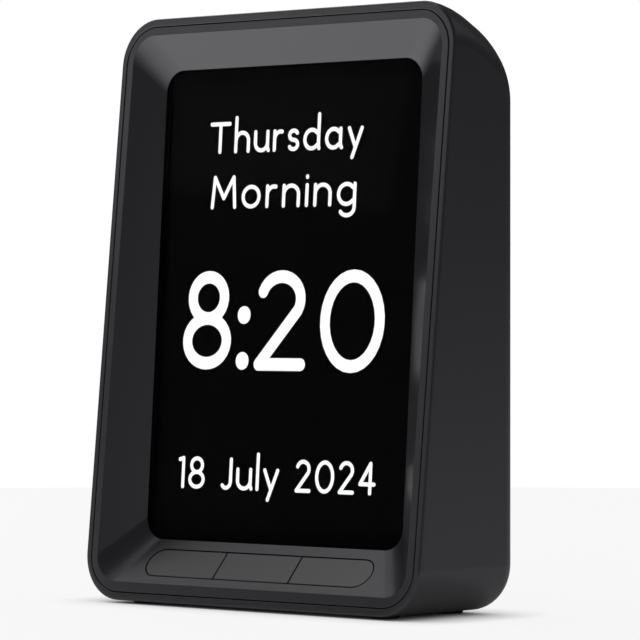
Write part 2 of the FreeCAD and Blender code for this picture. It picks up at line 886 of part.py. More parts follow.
def display_ribbon():
    # A flat cable that leaves the tray's back, turns under the board and runs up to its connector
    half = ribbon_thickness / 2
    line = [(ribbon_start, tray_back + half), (ribbon_turn, tray_back + half)]
    line += [(ribbon_turn, ribbon_back), (ribbon_plug_low, ribbon_back)]
    sides = []
    for side in (-1, 1):
        outside = side * half
        points = [(line[0][0], line[0][1] + outside), (line[1][0] + outside, line[1][1] + outside)]
        points += [(line[2][0] + outside, line[2][1] - outside), (line[3][0], line[3][1] - outside)]
        sides.append((points, ribbon_bend - outside))
    edges = []
    for points, bend in sides:
        start = points[0]
        for index in (1, 2):
            arc = corner_arc(points[index - 1], points[index], points[index + 1], bend)
            edges.append(ribbon_line(start, arc[0]))
            edges.append(Part.Arc(*[ribbon_place(*point) for point in arc]).toShape())
            start = arc[2]
        edges.append(ribbon_line(start, points[3]))
    edges.append(ribbon_line(sides[0][0][0], sides[1][0][0]))
    edges.append(ribbon_line(sides[0][0][3], sides[1][0][3]))
    face = Part.Face(Part.Wire(Part.__sortEdges__(edges)))
    return on_window(face.extrude(Vector(ribbon_width, 0, 0)))


def ribbon_place(up, depth):
    return Vector(-ribbon_width / 2, depth, up)


def ribbon_line(start, end):
    return Part.LineSegment(ribbon_place(*start), ribbon_place(*end)).toShape()


# Key bar
def key_centre(index):
    return (index - (key_count - 1) / 2) * key_pitch


def key_range(index):
    # The stretch of the bar that one key fills
    low = key_centre(index) - key_pitch / 2 + key_gap / 2
    high = key_centre(index) + key_pitch / 2 - key_gap / 2
    if index == 0:
        low = -key_bar_width
    if index == key_count - 1:
        high = key_bar_width
    return low, high


def push_button(index):
    low, high = key_range(index)
    span = block(low, high, -1, key_stem_end + 1, -key_bar_height, 3 * key_bar_height)
    cap = key_slab(-key_gap, 0, key_flange_front + key_flange_thickness / 2)
    flange = key_slab(key_flange_overhang, key_flange_front, key_flange_back)
    head = one_solid(fused([cap.common(span), flange.common(span)]))
    top = [face for face in head.Faces if face.CenterOfMass.y < match_tolerance]
    head = head.makeFillet(key_edge_radius, top[0].OuterWire.Edges)
    half = key_stem_width / 2
    x = key_centre(index)
    low = key_bar_rise - half
    root = key_flange_back - key_flange_thickness / 2
    stem = block(x - half, x + half, root, key_stem_end, low, low + key_stem_width)
    return on_keys(one_solid(fused([head, stem])))


def button_guide():
    low = key_bar_rise - guide_low_reach
    high = key_bar_rise + guide_high_reach
    width = 2 * (guide_post_x + guide_end_margin)
    parts = [slab(width, low, high, board_corner_radius, guide_front, guide_back)]
    for x, up in guide_screw_places():
        parts.append(rod(guide_post_radius, x, up, guide_back - guide_thickness / 2, key_board_front))
    removed = []
    half = key_stem_width / 2 + key_gap
    for index in range(key_count):
        x = key_centre(index)
        low = key_bar_rise - half
        removed.append(block(x - half, x + half, 0, key_board_front, low, low + 2 * half))
    for x, up in guide_screw_places():
        removed.append(rod(screw_radius + screw_hole_gap, x, up, 0, 2 * key_board_front))
    return on_keys(one_solid(fused(parts).cut(removed)))


def button_board():
    low = key_bar_rise - key_board_low_reach
    high = key_bar_rise + key_board_high_reach
    width = 2 * (guide_post_x + guide_end_margin)
    board = slab(width, low, high, board_corner_radius, key_board_front, key_board_back)
    hole = screw_radius + screw_hole_gap
    holes = [rod(hole, x, up, 0, 2 * key_board_back) for x, up in guide_screw_places()]
    return on_keys(board.cut(holes))


def key_switch(index):
    half = switch_width / 2
    x = key_centre(index)
    low = key_bar_rise - half
    high = low + switch_width
    body = slab(switch_width, low, high, switch_corner_radius, switch_front, key_board_front, x)
    depth = key_stem_end + plunger_length + key_travel + plunger_over_travel
    return on_keys(body.cut(rod(plunger_radius + plunger_clearance, x, key_bar_rise, 0, depth)))


def key_plunger(index):
    end = key_stem_end + plunger_length
    return on_keys(rod(plunger_radius, key_centre(index), key_bar_rise, key_stem_end, end))


# Speaker
speaker_front_y = rear_inside_y - speaker_gasket_thickness
speaker_back_y = speaker_front_y - speaker_basket_depth


def speaker_gasket():
    ring = rod(speaker_flange_radius, speaker_x, speaker_z, speaker_front_y, rear_inside_y)
    mouth = speaker_flange_radius - speaker_gasket_width
    return ring.cut(rod(mouth, speaker_x, speaker_z, speaker_front_y - 1, rear_y))


def speaker_frame():
    mouth = speaker_flange_radius - speaker_gasket_width
    step = speaker_front_y - speaker_flange_thickness
    wall = speaker_basket_wall
    points = [(mouth, speaker_front_y), (speaker_flange_radius, speaker_front_y)]
    points += [(speaker_flange_radius, step), (speaker_basket_radius, step)]
    points += [(speaker_basket_end_radius, speaker_back_y), (0, speaker_back_y)]
    points += [(0, speaker_back_y + wall), (speaker_basket_end_radius - wall, speaker_back_y + wall)]
    points += [(mouth - wall, step), (mouth, step)]
    basket = turned(points, speaker_x, speaker_z)
    low = speaker_z - speaker_tab_width / 2
    start = speaker_x + speaker_flange_radius - 1
    tab = block(start, start + 1 + speaker_tab_length, step, speaker_front_y, low, low + speaker_tab_width)
    return one_solid(fused([basket, tab]))


def speaker_cone():
    rim = speaker_flange_radius - speaker_gasket_width - speaker_basket_wall
    step = speaker_front_y - speaker_flange_thickness
    thick = speaker_cone_thickness
    neck = speaker_cone_neck_radius
    floor = step - speaker_cone_depth
    outer = rim + speaker_basket_wall - speaker_cone_gap
    points = [(0, floor), (neck, floor), (rim - thick, step), (outer, step), (outer, step + thick)]
    points += [(rim - 2 * thick, step + thick), (neck - thick, floor + thick), (0, floor + thick)]
    return turned(points, speaker_x, speaker_z)


def speaker_magnet():
    start = speaker_back_y - speaker_magnet_height
    return rod(speaker_magnet_radius, speaker_x, speaker_z, start, speaker_back_y)


# Power inlet
def power_inlet():
    start = inlet_floor_y - inlet_shell_length
    radius = inlet_shell_height / 2 - round_end_flat
    shell = inlet_slab(inlet_shell_width, inlet_shell_height, radius, start, inlet_floor_y)
    wall = inlet_shell_wall
    hollow_width = inlet_shell_width - 2 * wall
    hollow_height = inlet_shell_height - 2 * wall
    hollow_radius = hollow_height / 2 - round_end_flat
    hollow = inlet_slab(hollow_width, hollow_height, hollow_radius, start + 2 * wall, inlet_floor_y + 1)
    return shell.cut(hollow)


def inlet_tongue():
    start = inlet_floor_y - inlet_shell_length + 2 * inlet_shell_wall
    end = inlet_floor_y - inlet_tongue_inset
    return inlet_slab(inlet_tongue_width, inlet_tongue_height, inlet_tongue_radius, start, end)


def inlet_board():
    half = inlet_board_width / 2
    low = inlet_board_top - inlet_board_thickness
    board = block(inlet_x - half, inlet_x + half, inlet_board_front, inlet_board_rear, low, inlet_board_top)
    holes = []
    hole = screw_radius + screw_hole_gap
    for x, y in inlet_screw_places():
        holes.append(Part.makeCylinder(hole, inlet_board_thickness + 2, Vector(x, y, low - 1)))
    return board.cut(holes)


inlet_plug_y = inlet_board_front + inlet_screw_margin


def inlet_connector():
    half = wire_spacing
    low_y = inlet_plug_y - half
    high = inlet_board_top + plug_depth
    return block(inlet_x - half, inlet_x + half, low_y, low_y + 2 * half, inlet_board_top, high)


# Wires
def wire_pair(points, bend, offset):
    wires = []
    for side in (-1, 1):
        shift = offset * (side * wire_spacing / 2)
        wires.append(tube([point + shift for point in points], bend, wire_radius))
    return Part.makeCompound(wires)


def plug_point(x, out):
    return window_point(x, wire_plug_up, wire_plug_back + out)


def speaker_leads():
    tab_x = speaker_x + speaker_flange_radius + speaker_tab_length / 2
    tab_y = speaker_front_y - speaker_flange_thickness
    start = Vector(tab_x, tab_y, speaker_z)
    below = Vector(tab_x, tab_y - wire_short_out, speaker_z)
    above = plug_point(speaker_plug_x, wire_short_out)
    end = plug_point(speaker_plug_x, 0)
    return wire_pair([start, below, above, end], wire_tight_bend, Vector(1, 0, 0))


def inlet_leads():
    start = Vector(inlet_x, inlet_plug_y, inlet_board_top + plug_depth)
    up = start + Vector(0, 0, inlet_wire_rise)
    over = plug_point(inlet_plug_x, wire_out)
    end = plug_point(inlet_plug_x, 0)
    return wire_pair([start, up, over, end], wire_bend, Vector(1, 0, 0))


def button_leads():
    up = key_bar_rise + key_board_high_reach - button_wire_inset
    start = key_point(key_plug_x, up, key_board_back)
    out = key_point(key_plug_x, up, key_board_back + wire_out)
    rise = out + Vector(0, button_wire_back, button_wire_rise)
    over = plug_point(key_plug_x, wire_out)
    end = plug_point(key_plug_x, 0)
    return wire_pair([start, out, rise, over, end], wire_bend, Vector(1, 0, 0))


# Screws and feet
def housing_screws():
    screws = []
    for x, z, boss_end in housing_screw_places():
        seat = Vector(x, boss_end + housing_shelf, z)
        screws.append(screw(seat, Vector(0, -1, 0), housing_shelf + screw_bite))
    return Part.makeCompound(screws)


def window_screw(x, up, seat, length):
    forward = Vector(0, -math.cos(lean), math.sin(lean))
    return screw(window_point(x, up, seat), forward, length)


def bracket_screws():
    length = bracket_thickness + screw_bite
    screws = [window_screw(x, up, bracket_back, length) for x, up in bracket_screw_places()]
    return Part.makeCompound(screws)


def board_screws():
    length = board_thickness + standoff_height - screw_hole_floor
    screws = [window_screw(x, up, main_board_back, length) for x, up in board_screw_places()]
    return Part.makeCompound(screws)


def guide_screws():
    turn = math.radians(key_tilt)
    forward = Vector(0, -math.cos(turn), math.sin(turn))
    length = key_board_back - key_wall
    screws = []
    for x, up in guide_screw_places():
        screws.append(screw(key_point(x, up, key_board_back), forward, length))
    return Part.makeCompound(screws)


def speaker_screws():
    seat = speaker_front_y - speaker_flange_thickness
    back = Vector(0, 1, 0)
    length = rear_inside_y - seat
    screws = []
    for x, z in speaker_screw_places():
        screws.append(screw(Vector(x, seat, z), back, length, speaker_washer_radius))
    return Part.makeCompound(screws)


def inlet_screws():
    down = Vector(0, 0, -1)
    length = screw_bite - screw_hole_floor
    screws = []
    for x, y in inlet_screw_places():
        screws.append(screw(Vector(x, y, inlet_board_top), down, length))
    return Part.makeCompound(screws)


def foot_pads():
    pads = []
    for x, y in foot_places():
        pad = Part.makeCylinder(foot_radius, foot_lift + foot_sink, Vector(x, y, 0))
        sole = [face for face in pad.Faces if face.CenterOfMass.z < match_tolerance]
        pads.append(pad.makeFillet(foot_edge_radius, sole[0].Edges))
    return Part.makeCompound(pads)


def all_nodes():
    nodes = {
        "housing": housing(),
        "front_frame": front_frame(),
        "display_window": display_window(),
        "display_gasket": display_gasket(),
        "lcd_cell": lcd_cell(),
        "backlight_tray": backlight_tray(),
        "lcd_bracket": lcd_bracket(),
        "main_board": main_board(),
        "processor_chip": processor_chip(),
        "memory_chip": memory_chip(),
        "clock_crystal": clock_crystal(),
        "coin_cell_holder": coin_cell_holder(),
        "coin_cell": coin_cell(),
        "ribbon_connector": ribbon_connector(),
        "wire_connectors": wire_connectors(),
        "display_ribbon": display_ribbon(),
        "button_guide": button_guide(),
        "button_board": button_board(),
        "speaker_gasket": speaker_gasket(),
        "speaker_frame": speaker_frame(),
        "speaker_cone": speaker_cone(),
        "speaker_magnet": speaker_magnet(),
        "power_inlet": power_inlet(),
        "inlet_tongue": inlet_tongue(),
        "inlet_board": inlet_board(),
        "inlet_connector": inlet_connector(),
        "speaker_leads": speaker_leads(),
        "inlet_leads": inlet_leads(),
        "button_leads": button_leads(),
        "housing_screws": housing_screws(),
        "bracket_screws": bracket_screws(),
        "board_screws": board_screws(),
        "guide_screws": guide_screws(),
        "speaker_screws": speaker_screws(),
        "inlet_screws": inlet_screws(),
        "foot_pads": foot_pads(),
    }
    for index, side in enumerate(("left", "middle", "right")):
        nodes["button_" + side] = push_button(index)
        nodes["plunger_" + side] = key_plunger(index)
        nodes["switch_" + side] = key_switch(index)
    return nodes


os.makedirs("parts", exist_ok=True)
for name, shape in all_nodes().items():
    shape.exportStep("parts/" + name + ".step")
    print(name, len(shape.Solids), round(shape.Volume, 1))
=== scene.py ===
import math

import bmesh
import bpy
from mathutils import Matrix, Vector


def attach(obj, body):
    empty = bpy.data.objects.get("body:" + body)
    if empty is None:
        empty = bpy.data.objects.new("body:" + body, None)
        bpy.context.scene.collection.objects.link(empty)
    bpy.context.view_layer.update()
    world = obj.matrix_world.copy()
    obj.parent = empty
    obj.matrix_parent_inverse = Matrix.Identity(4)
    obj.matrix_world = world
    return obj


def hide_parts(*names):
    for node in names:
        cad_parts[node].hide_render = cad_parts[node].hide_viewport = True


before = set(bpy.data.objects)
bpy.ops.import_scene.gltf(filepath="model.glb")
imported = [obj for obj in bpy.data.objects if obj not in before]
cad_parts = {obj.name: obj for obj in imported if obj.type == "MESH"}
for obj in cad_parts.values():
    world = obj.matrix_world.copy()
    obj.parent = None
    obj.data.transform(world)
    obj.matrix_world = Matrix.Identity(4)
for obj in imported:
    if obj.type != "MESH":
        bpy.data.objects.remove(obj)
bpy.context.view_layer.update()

mm = 0.001  # the shapes are given in millimetres
tiny = mm / 1000  # points nearer than this are one


# Camera: level, to the right of the clock's front
camera = {
    "place": (0.9743, -1.06885, 0.1039), "tilt": 90.0, "turn": 42.0, "lens": 225.2, "sensor": 36.0,
    "farEnd": 30.0,
}


def addCamera():
    view = bpy.data.cameras.new("camera")
    view.lens = camera["lens"]
    view.sensor_width = camera["sensor"]
    view.clip_end = camera["farEnd"]
    holder = bpy.data.objects.new("camera", view)
    bpy.context.scene.collection.objects.link(holder)
    holder.location = camera["place"]
    holder.rotation_euler = (math.radians(camera["tilt"]), 0, math.radians(camera["turn"]))
    bpy.context.scene.camera = holder


addCamera()
print("camera set")


# Modelling helpers
def deselectAll():
    if bpy.context.object and bpy.context.object.mode != "OBJECT":
        bpy.ops.object.mode_set(mode="OBJECT")
    bpy.ops.object.select_all(action="DESELECT")


def makeActive(piece):
    deselectAll()
    piece.select_set(True)
    bpy.context.view_layer.objects.active = piece


def loft(name, rings, closeEnds=True):
    # a circle drawn out to the first ring, its edges extruded and drawn to each ring that follows
    deselectAll()
    bpy.ops.mesh.primitive_circle_add(vertices=len(rings[0]), radius=mm)
    piece = bpy.context.object
    piece.name = name
    bpy.ops.object.mode_set(mode="EDIT")
    bpy.ops.mesh.select_mode(type="EDGE")
    mesh = bmesh.from_edit_mesh(piece.data)
    order = mesh.verts.layers.int.new("order")
    for number, vert in enumerate(mesh.verts):
        vert[order] = number
    following = rings[1:] if closeEnds else rings[1:] + rings[:1]
    for number, ring in enumerate(rings[:1] + following):
        if number:
            bpy.ops.mesh.extrude_edges_move()
        mesh = bmesh.from_edit_mesh(piece.data)
        order = mesh.verts.layers.int["order"]
        for vert in mesh.verts:
            if vert.select:
                vert.co = [value * mm for value in ring[vert[order]]]
        bmesh.update_edit_mesh(piece.data)
        if closeEnds and number in (0, len(following)):
            bpy.ops.mesh.edge_face_add()
    if not closeEnds:
        bpy.ops.mesh.select_all(action="SELECT")
        bpy.ops.mesh.remove_doubles(threshold=tiny)
    bpy.ops.mesh.select_all(action="SELECT")
    bpy.ops.mesh.normals_make_consistent(inside=False)
    bpy.ops.object.mode_set(mode="OBJECT")
    piece.data.attributes.remove(piece.data.attributes["order"])
    return piece


def rods(name, rows, sides=32):
    # cylinders in one mesh, each given as radius, start and end
    deselectAll()
    piece = None
    for radius, start, end in rows:
        start, end = Vector(start) * mm, Vector(end) * mm
        along = end - start
        turn = along.to_track_quat("Z", "Y").to_euler()
        bpy.ops.mesh.primitive_cylinder_add(
            vertices=sides, radius=radius * mm, depth=along.length,
            location=(start + end) / 2, rotation=turn)
        if piece is None:
            piece = bpy.context.object
            piece.name = name
            bpy.ops.object.transform_apply(location=True, rotation=True, scale=True)
            bpy.ops.object.mode_set(mode="EDIT")
    bpy.ops.object.mode_set(mode="OBJECT")
    return piece


def combine(piece, other, how):
    makeActive(piece)
    cut = piece.modifiers.new("combine", "BOOLEAN")
    cut.operation = how
    cut.object = other
    cut.solver = "EXACT"
    bpy.ops.object.modifier_apply(modifier=cut.name)
    bpy.data.objects.remove(other)


def finish(piece, body, material, sharpAngle=32.0):
    # smooth shading up to a sharp angle, one material, and the body that it moves with
    makeActive(piece)
    bpy.ops.object.shade_smooth_by_angle(angle=math.radians(sharpAngle))
    weigh = piece.modifiers.new("weigh", "WEIGHTED_NORMAL")
    weigh.keep_sharp = True
    bpy.ops.object.modifier_apply(modifier=weigh.name)
    piece.data.materials.clear()
    piece.data.materials.append(material)
    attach(piece, body)


# Planes that lean back: x across, up along the plane, depth into the clock
def onPlane(plane, x, up, depth):
    origin, lean = plane
    turn = math.radians(lean)
    y = origin[1] + up * math.sin(turn) + depth * math.cos(turn)
    z = origin[2] + up * math.cos(turn) - depth * math.sin(turn)
    return (origin[0] + x, y, z)


def depthBehind(plane, point):
    origin, lean = plane
    turn = math.radians(lean)
    return (point[1] - origin[1]) * math.cos(turn) - (point[2] - origin[2]) * math.sin(turn)


def mix(a, b, share):
    return tuple(p + (q - p) * share for p, q in zip(a, b))


def cornerPoint(index, steps, halfWidth, low, high, lowRadius, highRadius):
    # one point of a rounded oblong: right low corner first, then round to the left
    corner, step = divmod(index, steps + 1)
    turn = math.radians(-90 + 90 * corner + 90 * step / steps)
    radius = lowRadius if corner in (0, 3) else highRadius
    side = 1 if corner in (0, 1) else -1
    x = side * (halfWidth - radius) + radius * math.cos(turn)
    middle = low + radius if corner in (0, 3) else high - radius
    return x, middle + radius * math.sin(turn)


def planeRing(plane, steps, halfWidth, low, high, radius, depth, middle=0.0):
    # a whole rounded oblong, at a depth behind the plane
    ring = []
    for index in range(4 * (steps + 1)):
        x, up = cornerPoint(index, steps, halfWidth, low, high, radius, radius)
        ring.append(onPlane(plane, x + middle, up, depth))
    return ring


# Housing: one shell with a rounded rear, a sloping crown and a rim round the front
shell = {
    "width": 162.2, "height": 214.5, "depth": 55.2, "lift": 1.2, "frontLean": 5.9,
    "corner": 16.9, "rearEdge": 6.6, "wall": 2.1, "rimEdge": 0.8, "lipDepth": 3.0,
    "crownBreak": 28.1, "crownSlope": 27.7, "crownFront": 33.0, "crownRear": 27.2,
    "crownCorner": 16.0, "crownShrink": 0.3, "cornerSteps": 14, "crownSteps": 10, "edgeSteps": 20,
    "settleRounds": 6,
}
seam = {"side": 2.7, "low": 3.0, "top": 3.2, "corner": 14.1, "gap": 0.35, "edge": 0.25, "edgeSteps": 4}
frontY = -shell["depth"] / 2
rearY = shell["depth"] / 2
topZ = shell["lift"] + shell["height"]
frontLean = math.radians(shell["frontLean"])
crownSlope = math.radians(shell["crownSlope"])
crownCornerY = frontY + shell["crownBreak"]
crownStartY = crownCornerY - shell["crownFront"] * math.tan(crownSlope / 2)
frontArcZ = topZ - shell["crownFront"]
rearCornerZ = topZ - (rearY - crownCornerY) * math.tan(crownSlope)
rearArcY = rearY - shell["crownRear"]
rearArcZ = rearCornerZ - shell["crownRear"] * math.tan((math.pi / 2 - crownSlope) / 2)
seamLowZ = shell["lift"] + seam["low"]
seamHalf = shell["width"] / 2 - seam["side"]
seamHigh = (topZ - seam["top"] - seamLowZ) / math.cos(frontLean)
frontPlane = ((0, frontY + seam["low"] * math.tan(frontLean), seamLowZ), shell["frontLean"])


def frontAt(z, depth=0.0):
    return frontY + (z - shell["lift"]) * math.tan(frontLean) + depth / math.cos(frontLean)


def crownHeight(y, inset):
    # level, a wide arc down to the slope, the slope, and an arc down to the rear wall
    frontRadius = shell["crownFront"] - inset
    rearRadius = shell["crownRear"] - inset
    frontArcEnd = crownStartY + frontRadius * math.sin(crownSlope)
    if y <= crownStartY:
        return topZ - inset
    if y <= frontArcEnd:
        return frontArcZ + math.sqrt(frontRadius ** 2 - (y - crownStartY) ** 2)
    if y <= rearArcY + rearRadius * math.sin(crownSlope):
        start = frontArcZ + frontRadius * math.cos(crownSlope)
        return start - (y - frontArcEnd) * math.tan(crownSlope)
    return rearArcZ + math.sqrt(max(rearRadius ** 2 - (y - rearArcY) ** 2, 0))


def formPoint(index, y, inset):
    # drawn in at the rear, where the edges are round
    edge = shell["rearEdge"] - inset
    reach = max(y - (rearY - shell["rearEdge"]), 0)
    drawnIn = edge - math.sqrt(max(edge ** 2 - reach ** 2, 0))
    slopeEnd = rearArcY + shell["crownRear"] * math.sin(crownSlope)
    share = min(max((y - crownStartY) / (slopeEnd - crownStartY), 0), 1)
    high = shell["corner"] + (shell["crownCorner"] - shell["corner"]) * share
    return cornerPoint(
        index, shell["cornerSteps"], shell["width"] / 2 - inset - drawnIn,
        shell["lift"] + inset + drawnIn, crownHeight(y, inset),
        shell["corner"] - inset - drawnIn, high - inset - drawnIn * shell["crownShrink"])


def formRing(inset, yAt):
    # yAt says how far back the ring lies at each height, so depth and height are found in turn
    ring = []
    for index in range(4 * (shell["cornerSteps"] + 1)):
        z = topZ / 2
        for _ in range(shell["settleRounds"]):
            y = yAt(z)
            x, z = formPoint(index, y, inset)
        ring.append((x, y, z))
    return ring


def shellRings(inset, startDepth):
    # from the front towards the rear wall
    rings = []
    frontArcEnd = crownStartY + (shell["crownFront"] - inset) * math.sin(crownSlope)
    slopeEnd = rearArcY + (shell["crownRear"] - inset) * math.sin(crownSlope)
    for step in range(shell["crownSteps"] + 1):
        share = step / shell["crownSteps"]
        rings.append(formRing(
            inset, lambda z: frontAt(z, startDepth) * (1 - share) + frontArcEnd * share))
    rings.append(formRing(inset, lambda z: slopeEnd))
    for step in range(1, shell["edgeSteps"] + 1):
        turn = math.pi / 2 * step / shell["edgeSteps"]
        y = slopeEnd + (rearY - inset - slopeEnd) * math.sin(turn)
        rings.append(formRing(inset, lambda z: y))
    return rings


def seamRing(grow, depth):
    return planeRing(frontPlane, shell["cornerSteps"], seamHalf + grow, -grow, seamHigh + grow,
                     seam["corner"] + grow, depth)


def buildHousing():
    # from the rear wall to the rim, round it to the seam, and back along the inside
    steps = seam["edgeSteps"]
    rings = shellRings(0, shell["rimEdge"])[::-1]
    for step in range(1, steps + 1):
        turn = math.pi / 2 * step / steps
        inset = shell["rimEdge"] * (1 - math.cos(turn))
        depth = shell["rimEdge"] * (1 - math.sin(turn))
        rings.append(formRing(inset, lambda z: frontAt(z, depth)))
    half = seam["gap"] / 2
    for step in range(steps + 1):
        turn = math.pi / 2 * step / steps
        grow = half + seam["edge"] * (1 - math.sin(turn))
        rings.append(seamRing(grow, seam["edge"] * (1 - math.cos(turn))))
    rings.append(seamRing(half, shell["lipDepth"]))
    rings += shellRings(shell["wall"], shell["lipDepth"])
    return loft("housingShell", rings)


housing = buildHousing()
print("housing form made,", len(housing.data.polygons), "faces")


# Front panel: flat border, four slopes down to the window, and a slot for the keys
panel = {
    "borderSide": 3.1, "borderLow": 3.8, "borderTop": 3.1, "borderCorner": 10.0, "borderEdge": 0.17,
    "windowLean": 3.8, "setback": 12.7, "windowSide": 16.05, "windowLow": 19.1, "windowTop": 17.0,
    "windowCorner": 8.2, "skin": 3.4, "wall": 2.2, "backDepth": 2.7, "skirt": 7.0, "slopeSteps": 6,
}
windowPlane = ((0, frontPlane[0][1] + panel["setback"], seamLowZ), panel["windowLean"])
windowHalf = seamHalf - panel["windowSide"]
windowHigh = seamHigh - panel["windowTop"]


def borderRing(grow):
    return planeRing(frontPlane, shell["cornerSteps"], seamHalf - panel["borderSide"] + grow,
                     panel["borderLow"] - grow, seamHigh - panel["borderTop"] + grow,
                     panel["borderCorner"] + grow, 0)


def windowRing(grow):
    return planeRing(windowPlane, shell["cornerSteps"], windowHalf + grow, panel["windowLow"] - grow,
                     windowHigh + grow, panel["windowCorner"] + grow, 0)


def buildPanel():
    # from the skirt round the seam, over the border, down the slopes, and back behind them
    steps = seam["edgeSteps"]
    half = -seam["gap"] / 2
    rings = [seamRing(half, panel["skirt"])]
    for step in range(steps + 1):
        turn = math.pi / 2 * step / steps
        grow = half - seam["edge"] * (1 - math.cos(turn))
        rings.append(seamRing(grow, seam["edge"] * (1 - math.sin(turn))))
    border, window = borderRing(0), windowRing(0)
    # the edge between border and slopes is rounded by a ring half way to its corner
    edge = panel["borderEdge"]
    before = borderRing(edge)
    after = [mix(a, b, edge / (Vector(b) - Vector(a)).length) for a, b in zip(border, window)]
    middle = [mix(mix(a, c, 0.5), b, 0.5) for a, b, c in zip(before, border, after)]
    rings += [before, middle, after]
    for step in range(1, panel["slopeSteps"] + 1):
        rings.append([mix(a, b, step / panel["slopeSteps"]) for a, b in zip(after, window)])
    outside, foot = borderRing(panel["skin"]), windowRing(panel["skin"])
    rings.append(foot)
    back = []
    for a, b in zip(outside, foot):
        back.append(mix(a, b, panel["backDepth"] / depthBehind(frontPlane, b)))
    rings.append(back)
    rings.append(seamRing(half - panel["wall"], panel["backDepth"]))
    rings.append(seamRing(half - panel["wall"], panel["skirt"]))
    return loft("frontPanel", rings, closeEnds=False)


frontPanel = buildPanel()
print("front panel made,", len(frontPanel.data.polygons), "faces")


# Keys: one bar with round ends, cut into three, on the slope below the window
keys = {
    "count": 3, "inset": 23.65, "height": 12.9, "rise": 9.8, "gap": 0.45, "wall": 2.2,
    "edge": 0.25, "edgeSegments": 4, "edgeSlack": 0.01, "endSteps": 24, "endFlat": 0.001,
    "seat": 0.1, "flange": 1.2, "overhang": 1.2,
    "stem": 5.0, "stemLength": 2.6, "stemSink": 0.6, "stemCorner": 0.3, "stemSteps": 2,
}
keyNames = ("left", "middle", "right")
keyOrigin = onPlane(frontPlane, 0, panel["borderLow"], 0)
keyFar = onPlane(windowPlane, 0, panel["windowLow"], 0)
keyLean = math.degrees(math.atan2(keyFar[1] - keyOrigin[1], keyFar[2] - keyOrigin[2]))
keyPlane = (keyOrigin, keyLean)
keyBar = 2 * (seamHalf - keys["inset"])
keyPitch = keyBar / keys["count"]


def barRing(grow, depth):
    # its ends are round but for a hair of straight
    half = keys["height"] / 2 + grow
    return planeRing(keyPlane, keys["endSteps"], keyBar / 2 + grow, keys["rise"] - half,
                     keys["rise"] + half, half - keys["endFlat"], depth)


def cutAcross(piece, x, side):
    # keeps what lies on one side of x and closes the cut
    makeActive(piece)
    bpy.ops.object.mode_set(mode="EDIT")
    bpy.ops.mesh.select_all(action="SELECT")
    bpy.ops.mesh.bisect(plane_co=(x * mm, 0, 0), plane_no=(side, 0, 0), use_fill=True, clear_outer=True)
    bpy.ops.object.mode_set(mode="OBJECT")


def bevelFront(piece, plane):
    # rounds the edges that lie in the front face
    makeActive(piece)
    bpy.ops.object.mode_set(mode="EDIT")
    bpy.ops.mesh.select_all(action="DESELECT")
    bpy.ops.mesh.select_mode(type="EDGE")
    mesh = bmesh.from_edit_mesh(piece.data)
    for edge in mesh.edges:
        depths = [depthBehind(plane, [value / mm for value in vert.co]) for vert in edge.verts]
        edge.select = max(abs(depth) for depth in depths) < keys["edgeSlack"]
    bmesh.update_edit_mesh(piece.data)
    bpy.ops.mesh.bevel(offset=keys["edge"] * mm, segments=keys["edgeSegments"], affect="EDGES")
    bpy.ops.object.mode_set(mode="OBJECT")


def buildKey(number):
    # a cap in the bar, a flange behind the slope that holds it, and a stem
    name = keyNames[number] + "Key"
    middle = (number - (keys["count"] - 1) / 2) * keyPitch
    flangeFront = keys["wall"] + keys["seat"]
    flangeBack = flangeFront + keys["flange"]
    rings = [barRing(-keys["gap"], 0), barRing(-keys["gap"], flangeFront),
             barRing(keys["overhang"], flangeFront), barRing(keys["overhang"], flangeBack)]
    key = loft(name, rings)
    if number:
        cutAcross(key, middle - keyPitch / 2 + keys["gap"] / 2, -1)
    if number < keys["count"] - 1:
        cutAcross(key, middle + keyPitch / 2 - keys["gap"] / 2, 1)
    bevelFront(key, keyPlane)
    half = keys["stem"] / 2
    low, high = keys["rise"] - half, keys["rise"] + half
    stemRings = [planeRing(keyPlane, keys["stemSteps"], half, low, high, keys["stemCorner"], depth, middle)
                 for depth in (flangeBack - keys["stemSink"], flangeBack + keys["stemLength"])]
    combine(key, loft(name + "Stem", stemRings), "UNION")
    return key


keyPieces = [buildKey(number) for number in range(keys["count"])]
print("keys made")


# Readout: words and digits drawn with round-ended strokes, lying on the liquid crystal cell;
# front and back are their depths behind the plane of the window's edge
readout = {
    "front": 2.54, "back": 2.6, "xHeight": 0.66, "ascender": 1.2, "arcStep": 12.0,
    "lines": [
        {"text": "Thursday", "left": -40.7, "right": 33.0,
         "base": 161.9, "height": 10.2, "stroke": 1.52, "wide": 1.02},
        {"text": "Morning", "left": -38.8, "right": 30.8,
         "base": 141.5, "height": 10.9, "stroke": 1.52, "wide": 1.1},
        {"text": "8", "left": -48.2, "right": -28.2,
         "base": 84.2, "height": 31.6, "stroke": 4.6, "wide": 1.0},
        {"text": "2", "left": -12.2, "right": 8.6,
         "base": 84.0, "height": 31.8, "stroke": 4.6, "wide": 1.15},
        {"text": "0", "left": 19.3, "right": 46.0,
         "base": 83.5, "height": 32.3, "stroke": 4.6, "wide": 1.15},
        {"text": "18 July 2024", "left": -49.2, "right": 45.9,
         "base": 38.9, "height": 10.4, "stroke": 1.48, "wide": 1.05},
    ],
    "colon": {"x": -20.3, "ups": (101.9, 85.2), "radius": 3.15, "reach": 0.1},
}


def arc(x, up, halfWide, halfHigh, start, end):
    # points on part of an ellipse, from one angle to another
    steps = max(2, round(abs(end - start) / readout["arcStep"]))
    turns = [math.radians(start + (end - start) * step / steps) for step in range(steps + 1)]
    return [(x + halfWide * math.cos(turn), up + halfHigh * math.sin(turn)) for turn in turns]


